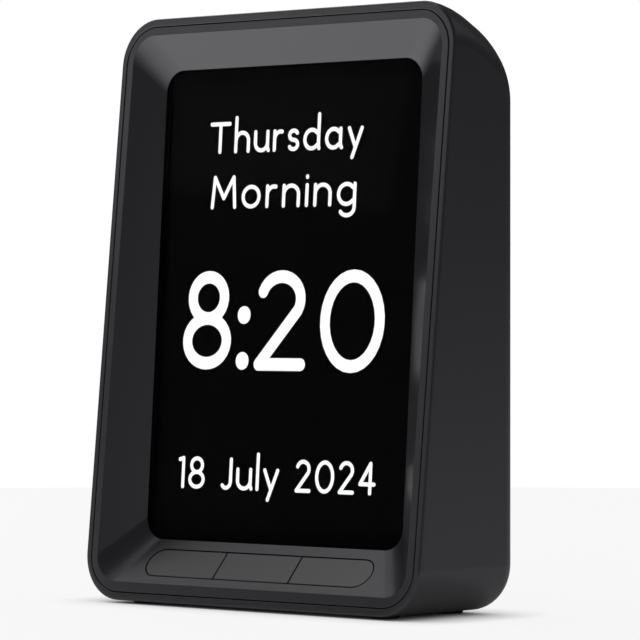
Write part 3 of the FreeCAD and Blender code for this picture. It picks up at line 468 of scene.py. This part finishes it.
def glyphStrokes():
    # the width of each letter and its centre lines, with the height of a capital as one
    low, tall = readout["xHeight"], readout["ascender"]
    bowl = [(0.64, 0.5)] + arc(0.32, 0.33, 0.32, 0.33, 48, 312) + [(0.64, 0.16)]
    arch = [(0, 0.3)] + arc(0.3, 0.36, 0.3, 0.3, 180, 0) + [(0.6, 0)]
    two = arc(0.27, 0.74, 0.26, 0.26, 160, -28) + [(0, 0)]
    return {
        "T": (0.86, [[(0, 1), (0.86, 1)], [(0.43, 1), (0.43, 0)]]),
        "h": (0.6, [[(0, tall), (0, 0)], arch]),
        "u": (0.58, [[(0, low), (0, 0.28)] + arc(0.29, 0.28, 0.29, 0.28, 180, 360) + [(0.58, low)],
                     [(0.58, low), (0.58, 0.1)], [(0.58, 0.1), (0.63, 0)]]),
        "r": (0.34, [[(0, low), (0, 0)], [(0, 0.3)] + arc(0.27, 0.36, 0.27, 0.29, 180, 75)]),
        "s": (0.42, [arc(0.22, 0.495, 0.19, 0.165, 30, 270), arc(0.22, 0.165, 0.2, 0.165, 90, -150)]),
        "d": (0.68, [bowl, [(0.64, tall), (0.64, 0.1)], [(0.64, 0.1), (0.67, 0)]]),
        "a": (0.7, [bowl, [(0.64, low), (0.64, 0.1)], [(0.64, 0.1), (0.7, 0)]]),
        "y": (0.58, [[(0, low), (0.29, 0.02)], [(0.58, low), (0.17, -0.36)]]),
        "M": (0.94, [[(0, 0), (0.08, 1)], [(0.08, 1), (0.47, 0.3)], [(0.47, 0.3), (0.86, 1)],
                     [(0.86, 1), (0.94, 0)]]),
        "o": (0.66, [arc(0.33, 0.33, 0.33, 0.33, 90, 450)]),
        "n": (0.6, [[(0, low), (0, 0)], arch]),
        "i": (0.0, [[(0, low), (0, 0)], [(0, 0.93), (0, 0.95)]]),
        "g": (0.64, [bowl, [(0.64, low), (0.64, -0.1)] + arc(0.35, -0.12, 0.29, 0.25, 0, -148)]),
        "8": (0.62, [arc(0.31, 0.76, 0.25, 0.24, 90, 450), arc(0.31, 0.26, 0.31, 0.26, 90, 450)]),
        "2": (0.56, [two, [(0, 0), (0.56, 0)]]),
        "0": (0.7, [arc(0.35, 0.5, 0.35, 0.5, 90, 450)]),
        "1": (0.17, [[(0, 0.95), (0.17, 1)], [(0.17, 1), (0.17, 0)]]),
        "J": (0.4, [[(0.4, 1), (0.4, 0.24)] + arc(0.19, 0.24, 0.21, 0.24, 0, -140)]),
        "l": (0.0, [[(0, tall), (0, 0)]]),
        "4": (0.6, [[(0.43, 0), (0.43, 1)], [(0.43, 1), (0, 0.3)], [(0, 0.3), (0.6, 0.3)]]),
        " ": (0.22, []),
    }


def strokeSides(points, radius, closed):
    # both sides of a line of even width
    sides = [[], []]
    last = len(points) - 1
    for index, (x, up) in enumerate(points):
        before = points[index - 1] if index or closed else points[index]
        after = points[(index + 1) % len(points)] if index < last or closed else points[index]
        across = Vector((before[1] - after[1], after[0] - before[0])).normalized() * radius
        sides[0].append((x + across.x, up + across.y))
        sides[1].append((x - across.x, up - across.y))
    return sides


def addStroke(points, radius):
    # a line that ends where it starts is a ring; any other gets a round cap at each end
    touching = radius / 100
    closed = (Vector(points[0]) - Vector(points[-1])).length < touching
    left, right = strokeSides(points[:-1] if closed else points, radius, closed)
    front, back = readout["front"], readout["back"]
    if closed:
        outlines = [(left, front), (right, front), (right, back), (left, back)]
    else:
        outline = list(left)
        for corner, middle in ((left[-1], points[-1]), (right[0], points[0])):
            turn = math.degrees(math.atan2(corner[1] - middle[1], corner[0] - middle[0]))
            outline += arc(middle[0], middle[1], radius, radius, turn, turn - 180)[1:-1]
            if corner is left[-1]:
                outline += right[::-1]
        outlines = [(outline, front), (outline, back)]
    rings = [[onPlane(windowPlane, x, up, depth) for x, up in line] for line, depth in outlines]
    return loft("stroke", rings, closeEnds=not closed)


def buildReadout():
    glyphs = glyphStrokes()
    strokes = []
    for line in readout["lines"]:
        scale, wide = line["height"], line["wide"]
        widths = [glyphs[letter][0] * scale * wide for letter in line["text"]]
        gaps = max(1, len(widths) - 1)
        gap = (line["right"] - line["left"] - sum(widths)) / gaps
        x = line["left"]
        for letter, width in zip(line["text"], widths):
            for stroke in glyphs[letter][1]:
                points = [(x + px * scale * wide, line["base"] + up * scale) for px, up in stroke]
                strokes.append(addStroke(points, line["stroke"] / 2))
            x += width + gap
    colon = readout["colon"]
    for up in colon["ups"]:
        ends = [(colon["x"], up - colon["reach"]), (colon["x"], up + colon["reach"])]
        strokes.append(addStroke(ends, colon["radius"]))
    deselectAll()
    for stroke in strokes:
        stroke.select_set(True)
    bpy.context.view_layer.objects.active = strokes[0]
    bpy.ops.object.join()
    strokes[0].name = "readout"
    return strokes[0]


readoutPiece = buildReadout()
print("readout drawn,", len(readoutPiece.data.polygons), "faces")


# Slot and screw posts of the front panel
posts = {
    "radius": 2.8, "pilot": 1.32, "bite": 7.0, "lowPlace": (68.5, 13.5), "lowEnd": frontY + 26.0,
    "sideX": seamHalf - 3.6, "sideUps": (65.0, 135.0), "sideDepths": (-3.6, 8.0),
    "guideX": keyBar / 2 + 6.75, "guideRadius": 3.0, "guideDepths": (1.1, 4.6), "guideFloor": 1.6,
    "cover": 1.5, "slopeReach": 0.3, "clear": 1.0, "pilotSides": 20, "slotDepths": (-1.5, 5.0),
}


def cutPanel():
    low, added, removed = [], [], []
    clear = posts["clear"]
    for side in (-1, 1):
        x, z = side * posts["lowPlace"][0], posts["lowPlace"][1]
        end = posts["lowEnd"]
        low.append((posts["radius"], (x, frontAt(z) + panel["wall"] / 2, z), (x, end, z)))
        removed.append((posts["pilot"], (x, end - posts["bite"], z), (x, end + clear, z)))
        near, far = posts["sideDepths"]
        for up in posts["sideUps"]:
            x = side * posts["sideX"]
            depths = (near, far, far - posts["bite"], far + clear)
            ends = [onPlane(windowPlane, x, up, depth) for depth in depths]
            added.append((posts["radius"], ends[0], ends[1]))
            removed.append((posts["pilot"], ends[2], ends[3]))
        near, far = posts["guideDepths"]
        x, up = side * posts["guideX"], keys["rise"]
        ends = [onPlane(keyPlane, x, up, depth) for depth in (near, far, posts["guideFloor"], far + clear)]
        added.append((posts["guideRadius"], ends[0], ends[1]))
        removed.append((posts["pilot"], ends[2], ends[3]))
    # the low posts start just behind the slopes
    border, window = borderRing(posts["cover"]), windowRing(posts["cover"])
    before = [mix(a, b, -posts["slopeReach"]) for a, b in zip(border, window)]
    lowPosts = rods("lowPosts", low)
    combine(lowPosts, loft("slopes", [before, window]), "DIFFERENCE")
    combine(frontPanel, lowPosts, "UNION")
    combine(frontPanel, rods("panelPosts", added), "UNION")
    combine(frontPanel, rods("pilots", removed, posts["pilotSides"]), "DIFFERENCE")
    combine(frontPanel, loft("slot", [barRing(0, depth) for depth in posts["slotDepths"]]), "DIFFERENCE")


cutPanel()
print("front panel cut,", len(frontPanel.data.polygons), "faces")


# Posts, holes and recesses of the housing
rear = {
    "speaker": (-34.0, 40.0), "field": 13.0, "pitch": 3.8, "hole": 0.95, "fieldDepth": 5.0,
    "screws": ((68.5, 13.5, frontY + 26.0), (55.0, 161.33, 10.85)), "tube": 3.7,
    "screwHole": 1.6, "headHole": 2.6, "shelf": 3.0, "pilot": 1.32,
    "speakerTurns": (90, 210, 330), "speakerPosts": 21.7, "speakerPost": 2.4,
    "speakerPostStart": 23.5, "speakerPilot": (20.0, 26.5),
    "inlet": (40.0, 17.0), "pocket": (14.0, 8.0), "pocketCorner": 2.4, "pocketDepth": 5.0,
    "pocketWall": 1.6, "aperture": (9.4, 3.7), "apertureDepth": 4.0, "endFlat": 0.01,
    "inletPosts": (6.8, 6.8), "inletPost": 2.6, "inletPostFoot": 1.0, "inletPostTop": 14.35,
    "inletBite": 5.0,
    "feet": (58.0, 17.15), "footHole": 5.2, "footSink": 0.8,
    "clear": 1.0, "holeSides": 24, "slabSteps": 8,
}


def roundSlab(name, size, corner, near, far):
    # an oblong block round the inlet, square to the rear wall
    x, z = rear["inlet"]
    upright = ((x, 0, 0), 0.0)
    low, high = z - size[1] / 2, z + size[1] / 2
    rings = [planeRing(upright, rear["slabSteps"], size[0] / 2, low, high, corner, depth)
             for depth in (near, far)]
    return loft(name, rings)


def screwPlaces():
    return [(side * x, z, end) for x, z, end in rear["screws"] for side in (-1, 1)]


def speakerPosts():
    for turn in rear["speakerTurns"]:
        turn = math.radians(turn)
        x = rear["speaker"][0] + rear["speakerPosts"] * math.cos(turn)
        yield x, rear["speaker"][1] + rear["speakerPosts"] * math.sin(turn)


def inletPosts():
    for side in (-1, 1):
        yield rear["inlet"][0] + side * rear["inletPosts"][0], rear["inletPosts"][1]


def speakerField():
    # rows half a pitch apart sideways, within a circle
    rows = int(rear["field"] / rear["pitch"]) + 1
    for row in range(-rows, rows + 1):
        for column in range(-rows - 1, rows + 2):
            x = (column + 0.5 * (row % 2)) * rear["pitch"]
            z = row * rear["pitch"] * math.sqrt(3) / 2
            if math.hypot(x, z) <= rear["field"]:
                yield rear["speaker"][0] + x, rear["speaker"][1] + z


def addHousingPosts():
    inside = rearY - shell["wall"] / 2
    added = [(rear["tube"], (x, end, z), (x, inside, z)) for x, z, end in screwPlaces()]
    start = rear["speakerPostStart"]
    added += [(rear["speakerPost"], (x, start, z), (x, inside, z)) for x, z in speakerPosts()]
    foot, top = shell["lift"] + rear["inletPostFoot"], rear["inletPostTop"]
    added += [(rear["inletPost"], (x, y, foot), (x, y, top)) for x, y in inletPosts()]
    combine(housing, rods("housingPosts", added), "UNION")
    wall = 2 * rear["pocketWall"]
    size = (rear["pocket"][0] + wall, rear["pocket"][1] + wall)
    start = rearY - rear["pocketDepth"] - rear["pocketWall"]
    corner = rear["pocketCorner"] + rear["pocketWall"]
    combine(housing, roundSlab("pocketWall", size, corner, start, inside), "UNION")


def cutHousing():
    clear = rear["clear"]
    floor = rearY - rear["pocketDepth"]
    outside = rearY + clear
    narrow = [(rear["screwHole"], (x, end - clear, z), (x, outside, z)) for x, z, end in screwPlaces()]
    start = rearY - rear["fieldDepth"]
    narrow += [(rear["hole"], (x, start, z), (x, outside, z)) for x, z in speakerField()]
    start, end = rear["speakerPilot"]
    narrow += [(rear["pilot"], (x, start, z), (x, end, z)) for x, z in speakerPosts()]
    for x in (-rear["feet"][0], rear["feet"][0]):
        for y in (-rear["feet"][1], rear["feet"][1]):
            narrow.append((rear["footHole"], (x, y, 0), (x, y, shell["lift"] + rear["footSink"])))
    start, end = rear["inletPostTop"] - rear["inletBite"], rear["inletPostTop"] + clear
    narrow += [(rear["pilot"], (x, y, start), (x, y, end)) for x, y in inletPosts()]
    combine(housing, rods("narrowHoles", narrow, rear["holeSides"]), "DIFFERENCE")
    shelf = rear["shelf"]
    heads = [(rear["headHole"], (x, end + shelf, z), (x, outside, z)) for x, z, end in screwPlaces()]
    combine(housing, rods("headHoles", heads), "DIFFERENCE")
    pocket = roundSlab("pocket", rear["pocket"], rear["pocketCorner"], floor, outside)
    combine(housing, pocket, "DIFFERENCE")
    corner = rear["aperture"][1] / 2 - rear["endFlat"]
    start, end = floor - rear["apertureDepth"], floor + clear
    combine(housing, roundSlab("aperture", rear["aperture"], corner, start, end), "DIFFERENCE")


addHousingPosts()
cutHousing()
print("housing cut,", len(housing.data.polygons), "faces")


# Materials: each has its own pattern, tone and relief, read from Object coordinates in metres
plainFinish = {
    "grain": 2600.0, "grainDetail": 3.0, "stretch": (1, 1, 1), "spread": 0.1, "bump": 0.03,
    "sheenScale": 25.0, "sheenDetail": 2.0, "sheenChange": 0.03,
    "metal": 0.0, "specular": 0.5, "tint": (1.0, 1.0, 1.0),
}
bodyPlastic = {
    "colour": (0.0170, 0.0170, 0.0204), "roughness": 0.30, "specular": 1.0, "tint": (0.945, 0.942, 1.0),
}
finishes = {
    "housingPlastic": bodyPlastic,
    "framePlastic": bodyPlastic,
    "keyPlastic": {"colour": (0.030, 0.030, 0.0295), "roughness": 0.30, "specular": 1.0},
    "trayPlastic": {"colour": (0.75, 0.75, 0.73), "roughness": 0.5, "spread": 0.04},
    "connectorNylon": {"colour": (0.83, 0.80, 0.71), "roughness": 0.45, "spread": 0.05},
    "guidePlastic": {"colour": (0.07, 0.07, 0.072), "roughness": 0.5},
    "switchPlastic": {"colour": (0.045, 0.045, 0.047), "roughness": 0.35},
    "plungerPlastic": {"colour": (0.55, 0.08, 0.06), "roughness": 0.35, "spread": 0.06},
    "holderPlastic": {"colour": (0.05, 0.05, 0.05), "roughness": 0.45},
    "tonguePlastic": {"colour": (0.03, 0.03, 0.03), "roughness": 0.3},
    "chipEpoxy": {"colour": (0.028, 0.028, 0.03), "roughness": 0.6, "grain": 5200.0, "bump": 0.12},
    "foam": {"colour": (0.02, 0.02, 0.02), "roughness": 0.9, "grain": 1500.0, "bump": 0.7, "spread": 0.4},
    "blackFoam": {"colour": (0.003, 0.003, 0.003), "roughness": 0.9, "specular": 0.03,
                  "grain": 1500.0, "bump": 0.5, "spread": 0.4},
    "rubber": {"colour": (0.028, 0.028, 0.028), "roughness": 0.75,
               "grain": 1800.0, "bump": 0.3, "spread": 0.2},
    "conePaper": {"colour": (0.06, 0.058, 0.055), "roughness": 0.8,
                  "grain": 900.0, "stretch": (1, 0.2, 1), "bump": 0.6, "spread": 0.3},
    "insulation": {"colour": (0.5, 0.04, 0.03), "roughness": 0.35, "grain": 1200.0, "bump": 0.05},
    "bracketSteel": {"colour": (0.58, 0.58, 0.59), "roughness": 0.35, "metal": 1.0,
                     "grain": 2400.0, "stretch": (0.03, 1, 1), "bump": 0.08},
    "canSteel": {"colour": (0.68, 0.68, 0.68), "roughness": 0.25, "metal": 1.0,
                 "stretch": (1, 1, 0.05), "bump": 0.05, "spread": 0.06},
    "screwSteel": {"colour": (0.5, 0.5, 0.52), "roughness": 0.3, "metal": 1.0,
                   "grain": 1800.0, "spread": 0.15},
    "shellPlating": {"colour": (0.70, 0.70, 0.72), "roughness": 0.16, "metal": 1.0,
                     "grain": 900.0, "bump": 0.02, "spread": 0.04},
    "basketPaint": {"colour": (0.09, 0.09, 0.09), "roughness": 0.4, "grain": 1400.0, "bump": 0.08},
    "magnetFerrite": {"colour": (0.12, 0.12, 0.125), "roughness": 0.65,
                      "grain": 1600.0, "bump": 0.3, "spread": 0.25},
}
nodeFinishes = {
    "trayPlastic": ["backlight_tray"],
    "connectorNylon": ["ribbon_connector", "wire_connectors", "inlet_connector"],
    "guidePlastic": ["button_guide"],
    "switchPlastic": ["switch_left", "switch_middle", "switch_right"],
    "plungerPlastic": ["plunger_left", "plunger_middle", "plunger_right"],
    "holderPlastic": ["coin_cell_holder"],
    "tonguePlastic": ["inlet_tongue"],
    "chipEpoxy": ["processor_chip", "memory_chip"],
    "foam": ["speaker_gasket"],
    "blackFoam": ["display_gasket"],
    "rubber": ["foot_pads"],
    "conePaper": ["speaker_cone"],
    "insulation": ["speaker_leads", "inlet_leads", "button_leads"],
    "bracketSteel": ["lcd_bracket"],
    "canSteel": ["clock_crystal", "coin_cell"],
    "screwSteel": ["housing_screws", "bracket_screws", "board_screws", "guide_screws", "speaker_screws",
                   "inlet_screws"],
    "shellPlating": ["power_inlet"],
    "basketPaint": ["speaker_frame"],
    "magnetFerrite": ["speaker_magnet"],
}


def addNode(material, kind, **settings):
    made = material.node_tree.nodes.new(kind)
    for name, value in settings.items():
        setattr(made, name, value)
    return made


def newMaterial(name):
    material = bpy.data.materials.new(name)
    material.use_nodes = True
    return material, material.node_tree.links, material.node_tree.nodes["Principled BSDF"]


def patternNoise(material, scale, detail, stretch=(1, 1, 1)):
    place = addNode(material, "ShaderNodeTexCoord")
    sized = addNode(material, "ShaderNodeMapping")
    sized.inputs["Scale"].default_value = stretch
    noise = addNode(material, "ShaderNodeTexNoise")
    noise.inputs["Scale"].default_value = scale
    noise.inputs["Detail"].default_value = detail
    material.node_tree.links.new(place.outputs["Object"], sized.inputs["Vector"])
    material.node_tree.links.new(sized.outputs["Vector"], noise.inputs["Vector"])
    return noise


def patternGrid(material, scale, first, second, line):
    # two tones side by side, with lines between them
    place = addNode(material, "ShaderNodeTexCoord")
    grid = addNode(material, "ShaderNodeTexBrick")
    grid.inputs["Scale"].default_value = scale
    grid.inputs["Color1"].default_value = (*first, 1)
    grid.inputs["Color2"].default_value = (*second, 1)
    grid.inputs["Mortar"].default_value = (*line, 1)
    material.node_tree.links.new(place.outputs["Object"], grid.inputs["Vector"])
    return grid


def toneBetween(material, factor, dark, light):
    tone = addNode(material, "ShaderNodeMixRGB")
    tone.inputs["Color1"].default_value = (*dark, 1)
    tone.inputs["Color2"].default_value = (*light, 1)
    material.node_tree.links.new(factor, tone.inputs["Fac"])
    return tone.outputs["Color"]


def rangeBetween(material, factor, low, high):
    # low where the factor is 0, high where it is 1
    spread = addNode(material, "ShaderNodeMapRange")
    spread.inputs["To Min"].default_value = low
    spread.inputs["To Max"].default_value = high
    material.node_tree.links.new(factor, spread.inputs["Value"])
    return spread.outputs["Result"]


def shareBetween(material, value, start, end):
    # 0 up to start, 1 from end on
    share = addNode(material, "ShaderNodeMapRange")
    share.inputs["From Min"].default_value = start
    share.inputs["From Max"].default_value = end
    material.node_tree.links.new(value, share.inputs["Value"])
    return share.outputs["Result"]


def addMath(material, operation, first, second):
    made = addNode(material, "ShaderNodeMath", operation=operation)
    material.node_tree.links.new(first, made.inputs[0])
    material.node_tree.links.new(second, made.inputs[1])
    return made.outputs["Value"]


def relief(material, height, strength, depth=0.0001):
    bump = addNode(material, "ShaderNodeBump")
    bump.inputs["Strength"].default_value = strength
    bump.inputs["Distance"].default_value = depth
    material.node_tree.links.new(height, bump.inputs["Height"])
    return bump.outputs["Normal"]


def makeFinish(name, settings):
    # fine grain for tone and relief, and a slow change of sheen over the piece
    look = {**plainFinish, **settings}
    material, links, shader = newMaterial(name)
    fine = patternNoise(material, look["grain"], look["grainDetail"], look["stretch"])
    slow = patternNoise(material, look["sheenScale"], look["sheenDetail"])
    dark = [value * (1 - look["spread"]) for value in look["colour"]]
    light = [value * (1 + look["spread"]) for value in look["colour"]]
    links.new(toneBetween(material, fine.outputs["Fac"], dark, light), shader.inputs["Base Color"])
    smooth, rough = look["roughness"] - look["sheenChange"], look["roughness"] + look["sheenChange"]
    links.new(rangeBetween(material, slow.outputs["Fac"], smooth, rough), shader.inputs["Roughness"])
    links.new(relief(material, fine.outputs["Fac"], look["bump"]), shader.inputs["Normal"])
    shader.inputs["Metallic"].default_value = look["metal"]
    shader.inputs["Specular IOR Level"].default_value = look["specular"]
    shader.inputs["Specular Tint"].default_value = (*look["tint"], 1)
    return material


lacquerLook = {
    "tracks": 260.0, "trackWidth": 0.012, "dark": (0.018, 0.13, 0.055), "light": (0.02, 0.15, 0.062),
    "copper": (0.05, 0.22, 0.09), "grain": 700.0, "roughness": (0.22, 0.34), "bump": 0.15,
}


def makeBoardLacquer():
    # green lacquer with copper tracks a little lighter than the ground
    material, links, shader = newMaterial("boardLacquer")
    tracks = patternGrid(material, lacquerLook["tracks"], lacquerLook["dark"], lacquerLook["light"],
                         lacquerLook["copper"])
    tracks.inputs["Mortar Size"].default_value = lacquerLook["trackWidth"]
    links.new(tracks.outputs["Color"], shader.inputs["Base Color"])
    fine = patternNoise(material, lacquerLook["grain"], 2.0)
    rough = rangeBetween(material, fine.outputs["Fac"], *lacquerLook["roughness"])
    links.new(rough, shader.inputs["Roughness"])
    links.new(relief(material, tracks.outputs["Fac"], lacquerLook["bump"]), shader.inputs["Normal"])
    return material


ribbonLook = {"conductors": 320.0, "dark": (0.42, 0.2, 0.05), "light": (0.6, 0.34, 0.1), "roughness": 0.3,
              "bump": 0.1}


def makeRibbonFilm():
    # amber film with the conductors showing as fine lines
    material, links, shader = newMaterial("ribbonFilm")
    place = addNode(material, "ShaderNodeTexCoord")
    lines = addNode(material, "ShaderNodeTexWave")
    lines.inputs["Scale"].default_value = ribbonLook["conductors"]
    lines.inputs["Distortion"].default_value = 0.0
    links.new(place.outputs["Object"], lines.inputs["Vector"])
    tone = toneBetween(material, lines.outputs["Fac"], ribbonLook["dark"], ribbonLook["light"])
    links.new(tone, shader.inputs["Base Color"])
    links.new(relief(material, lines.outputs["Fac"], ribbonLook["bump"]), shader.inputs["Normal"])
    shader.inputs["Roughness"].default_value = ribbonLook["roughness"]
    return material


glassLook = {"index": 1.06, "specular": 0.1, "smear": 60.0, "roughness": (0.0, 0.012)}


def makeWindowGlass():
    # clear pane with a coating that keeps its shine low
    material, links, shader = newMaterial("windowGlass")
    shader.inputs["Base Color"].default_value = (1, 1, 1, 1)
    shader.inputs["Transmission Weight"].default_value = 1.0
    shader.inputs["IOR"].default_value = glassLook["index"]
    shader.inputs["Specular IOR Level"].default_value = glassLook["specular"]
    smear = patternNoise(material, glassLook["smear"], 2.0)
    rough = rangeBetween(material, smear.outputs["Fac"], *glassLook["roughness"])
    links.new(rough, shader.inputs["Roughness"])
    return material


cellLook = {
    "dots": 3200.0, "light": (0.0022, 0.0022, 0.0024), "dark": (0.0018, 0.0018, 0.002),
    "line": (0.001, 0.001, 0.001), "roughness": 0.35, "specular": 0.02,
}


def makeCellBlack():
    # the dark liquid crystal, with the faint grid of its dots
    material, links, shader = newMaterial("cellBlack")
    grid = patternGrid(material, cellLook["dots"], cellLook["light"], cellLook["dark"], cellLook["line"])
    links.new(grid.outputs["Color"], shader.inputs["Base Color"])
    shader.inputs["Roughness"].default_value = cellLook["roughness"]
    shader.inputs["Specular IOR Level"].default_value = cellLook["specular"]
    return material


litLook = {
    "dots": 3000.0, "dim": (0.97, 0.97, 0.98), "full": (1, 1, 1), "strength": 1.0,
    "unlit": (0.02, 0.02, 0.02), "roughness": 0.5,
}


def makeReadoutLight():
    # lit dots of the display: even white, a trace dimmer between the rows
    material, links, shader = newMaterial("readoutLight")
    fine = patternNoise(material, litLook["dots"], 1.0)
    light = toneBetween(material, fine.outputs["Fac"], litLook["dim"], litLook["full"])
    links.new(light, shader.inputs["Emission Color"])
    shader.inputs["Base Color"].default_value = (*litLook["unlit"], 1)
    shader.inputs["Emission Strength"].default_value = litLook["strength"]
    shader.inputs["Roughness"].default_value = litLook["roughness"]
    return material


def dress(nodeName, material):
    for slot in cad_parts[nodeName].material_slots:
        slot.material = material


materials = {name: makeFinish(name, look) for name, look in finishes.items()}
for finishName, nodeNames in nodeFinishes.items():
    for nodeName in nodeNames:
        dress(nodeName, materials[finishName])
lacquer = makeBoardLacquer()
for nodeName in ("main_board", "button_board", "inlet_board"):
    dress(nodeName, lacquer)
dress("display_ribbon", makeRibbonFilm())
dress("display_window", makeWindowGlass())
dress("lcd_cell", makeCellBlack())

finish(housing, "clock_body", materials["housingPlastic"])
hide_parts("housing")
finish(frontPanel, "clock_body", materials["framePlastic"])
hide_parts("front_frame")
for piece, side in zip(keyPieces, keyNames):
    finish(piece, side + "_key", materials["keyPlastic"])
    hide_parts("button_" + side)
finish(readoutPiece, "clock_body", makeReadoutLight())
print("materials set")


# Floor, lights and world
floorLook = {
    "size": 12, "colour": (0.86, 0.86, 0.86), "roughness": 0.6, "whiteShare": 0.88, "shadowReach": 0.02,
    "edge": (1.0, 1.05), "shineTurn": 64, "shineStart": 0.10, "shineFull": 0.16,
}


def addFloor():
    deselectAll()
    bpy.ops.mesh.primitive_plane_add(size=floorLook["size"])
    floor = bpy.context.object
    floor.name = "floor"
    material, links, shader = newMaterial("floorPaint")
    shader.inputs["Base Color"].default_value = (*floorLook["colour"], 1)
    shader.inputs["Roughness"].default_value = floorLook["roughness"]
    place = addNode(material, "ShaderNodeTexCoord").outputs["Object"]
    path = addNode(material, "ShaderNodeLightPath")

    # mostly white, less so close under the clock, which keeps its shadow, and all white far out
    near = addNode(material, "ShaderNodeAmbientOcclusion")
    near.inputs["Distance"].default_value = floorLook["shadowReach"]
    around = rangeBetween(material, near.outputs["AO"], 0.0, floorLook["whiteShare"])
    distance = addNode(material, "ShaderNodeVectorMath", operation="LENGTH")
    links.new(place, distance.inputs[0])
    farOut = shareBetween(material, distance.outputs["Value"], *floorLook["edge"])
    white = addMath(material, "MAXIMUM", around, farOut)

    # the camera sees that white in place of the paint
    plain = addNode(material, "ShaderNodeEmission")
    blend = addNode(material, "ShaderNodeMixShader")
    seen = addMath(material, "MULTIPLY", path.outputs["Is Camera Ray"], white)
    links.new(seen, blend.inputs["Fac"])
    links.new(shader.outputs["BSDF"], blend.inputs[1])
    links.new(plain.outputs["Emission"], blend.inputs[2])

    # shiny faces see it as well, from a little way out to the left and in front
    along = addNode(material, "ShaderNodeVectorMath", operation="DOT_PRODUCT")
    turn = math.radians(floorLook["shineTurn"])
    along.inputs[1].default_value = (-math.sin(turn), -math.cos(turn), 0)
    links.new(place, along.inputs[0])
    front = shareBetween(material, along.outputs["Value"], floorLook["shineStart"], floorLook["shineFull"])
    inFront = addMath(material, "MULTIPLY", front, white)
    shine = addMath(material, "MULTIPLY", path.outputs["Is Glossy Ray"], inFront)
    glow = addNode(material, "ShaderNodeEmission")
    links.new(shine, glow.inputs["Strength"])
    both = addNode(material, "ShaderNodeAddShader")
    links.new(blend.outputs["Shader"], both.inputs[0])
    links.new(glow.outputs["Emission"], both.inputs[1])
    links.new(both.outputs["Shader"], material.node_tree.nodes["Material Output"].inputs["Surface"])
    floor.data.materials.append(material)


# places in metres; each lamp looks at the middle of the foot
lights = [
    {"name": "left", "place": (-1.185, 0.431, 1.085), "size": 0.8, "power": 3.9},
    {"name": "leftFront", "place": (-1.256, -0.110, 1.085), "size": 0.8, "power": 1.1},
    {"name": "rearRight", "place": (0.630, 1.092, 1.085), "size": 0.8, "power": 0.34},
    {"name": "overhead", "place": (-0.586, -0.338, 1.550), "size": 0.8, "power": 2.9},
    {"name": "frontLeft", "place": (-0.830, -1.230, 0.699), "size": 0.4, "power": 0.37},
    {"name": "nearLeft", "place": (-0.50, -0.45, 0.35), "size": 0.25, "power": 0.10},
]


def addLights():
    for each in lights:
        lamp = bpy.data.lights.new(each["name"], "AREA")
        lamp.size = each["size"]
        lamp.energy = each["power"]
        holder = bpy.data.objects.new(each["name"], lamp)
        bpy.context.scene.collection.objects.link(holder)
        holder.location = each["place"]
        holder.rotation_euler = Vector(each["place"]).to_track_quat("Z", "Y").to_euler()
        holder.visible_camera = False


# how strong the white surroundings are for each kind of ray
worldLook = {
    "Is Camera Ray": 1.0, "Is Transmission Ray": 0.07, "Is Diffuse Ray": 0.37, "Is Glossy Ray": 0.07,
}


def setWorld():
    # white to the camera, dimmer as light on the object, and dimmest in its shine and its glass
    world = bpy.data.worlds.new("studio")
    bpy.context.scene.world = world
    world.use_nodes = True
    nodes, links = world.node_tree.nodes, world.node_tree.links
    back = nodes["Background"]
    back.inputs["Color"].default_value = (1, 1, 1, 1)
    path = nodes.new("ShaderNodeLightPath")
    strength = None
    for ray, share in worldLook.items():
        step = nodes.new("ShaderNodeMath")
        step.operation = "MULTIPLY_ADD"
        step.inputs[1].default_value = share
        step.inputs[2].default_value = 0.0
        links.new(path.outputs[ray], step.inputs[0])
        if strength:
            links.new(strength, step.inputs[2])
        strength = step.outputs["Value"]
    links.new(strength, back.inputs["Strength"])


addFloor()
addLights()
setWorld()
bpy.context.scene.view_settings.view_transform = "Standard"
print("stage set")
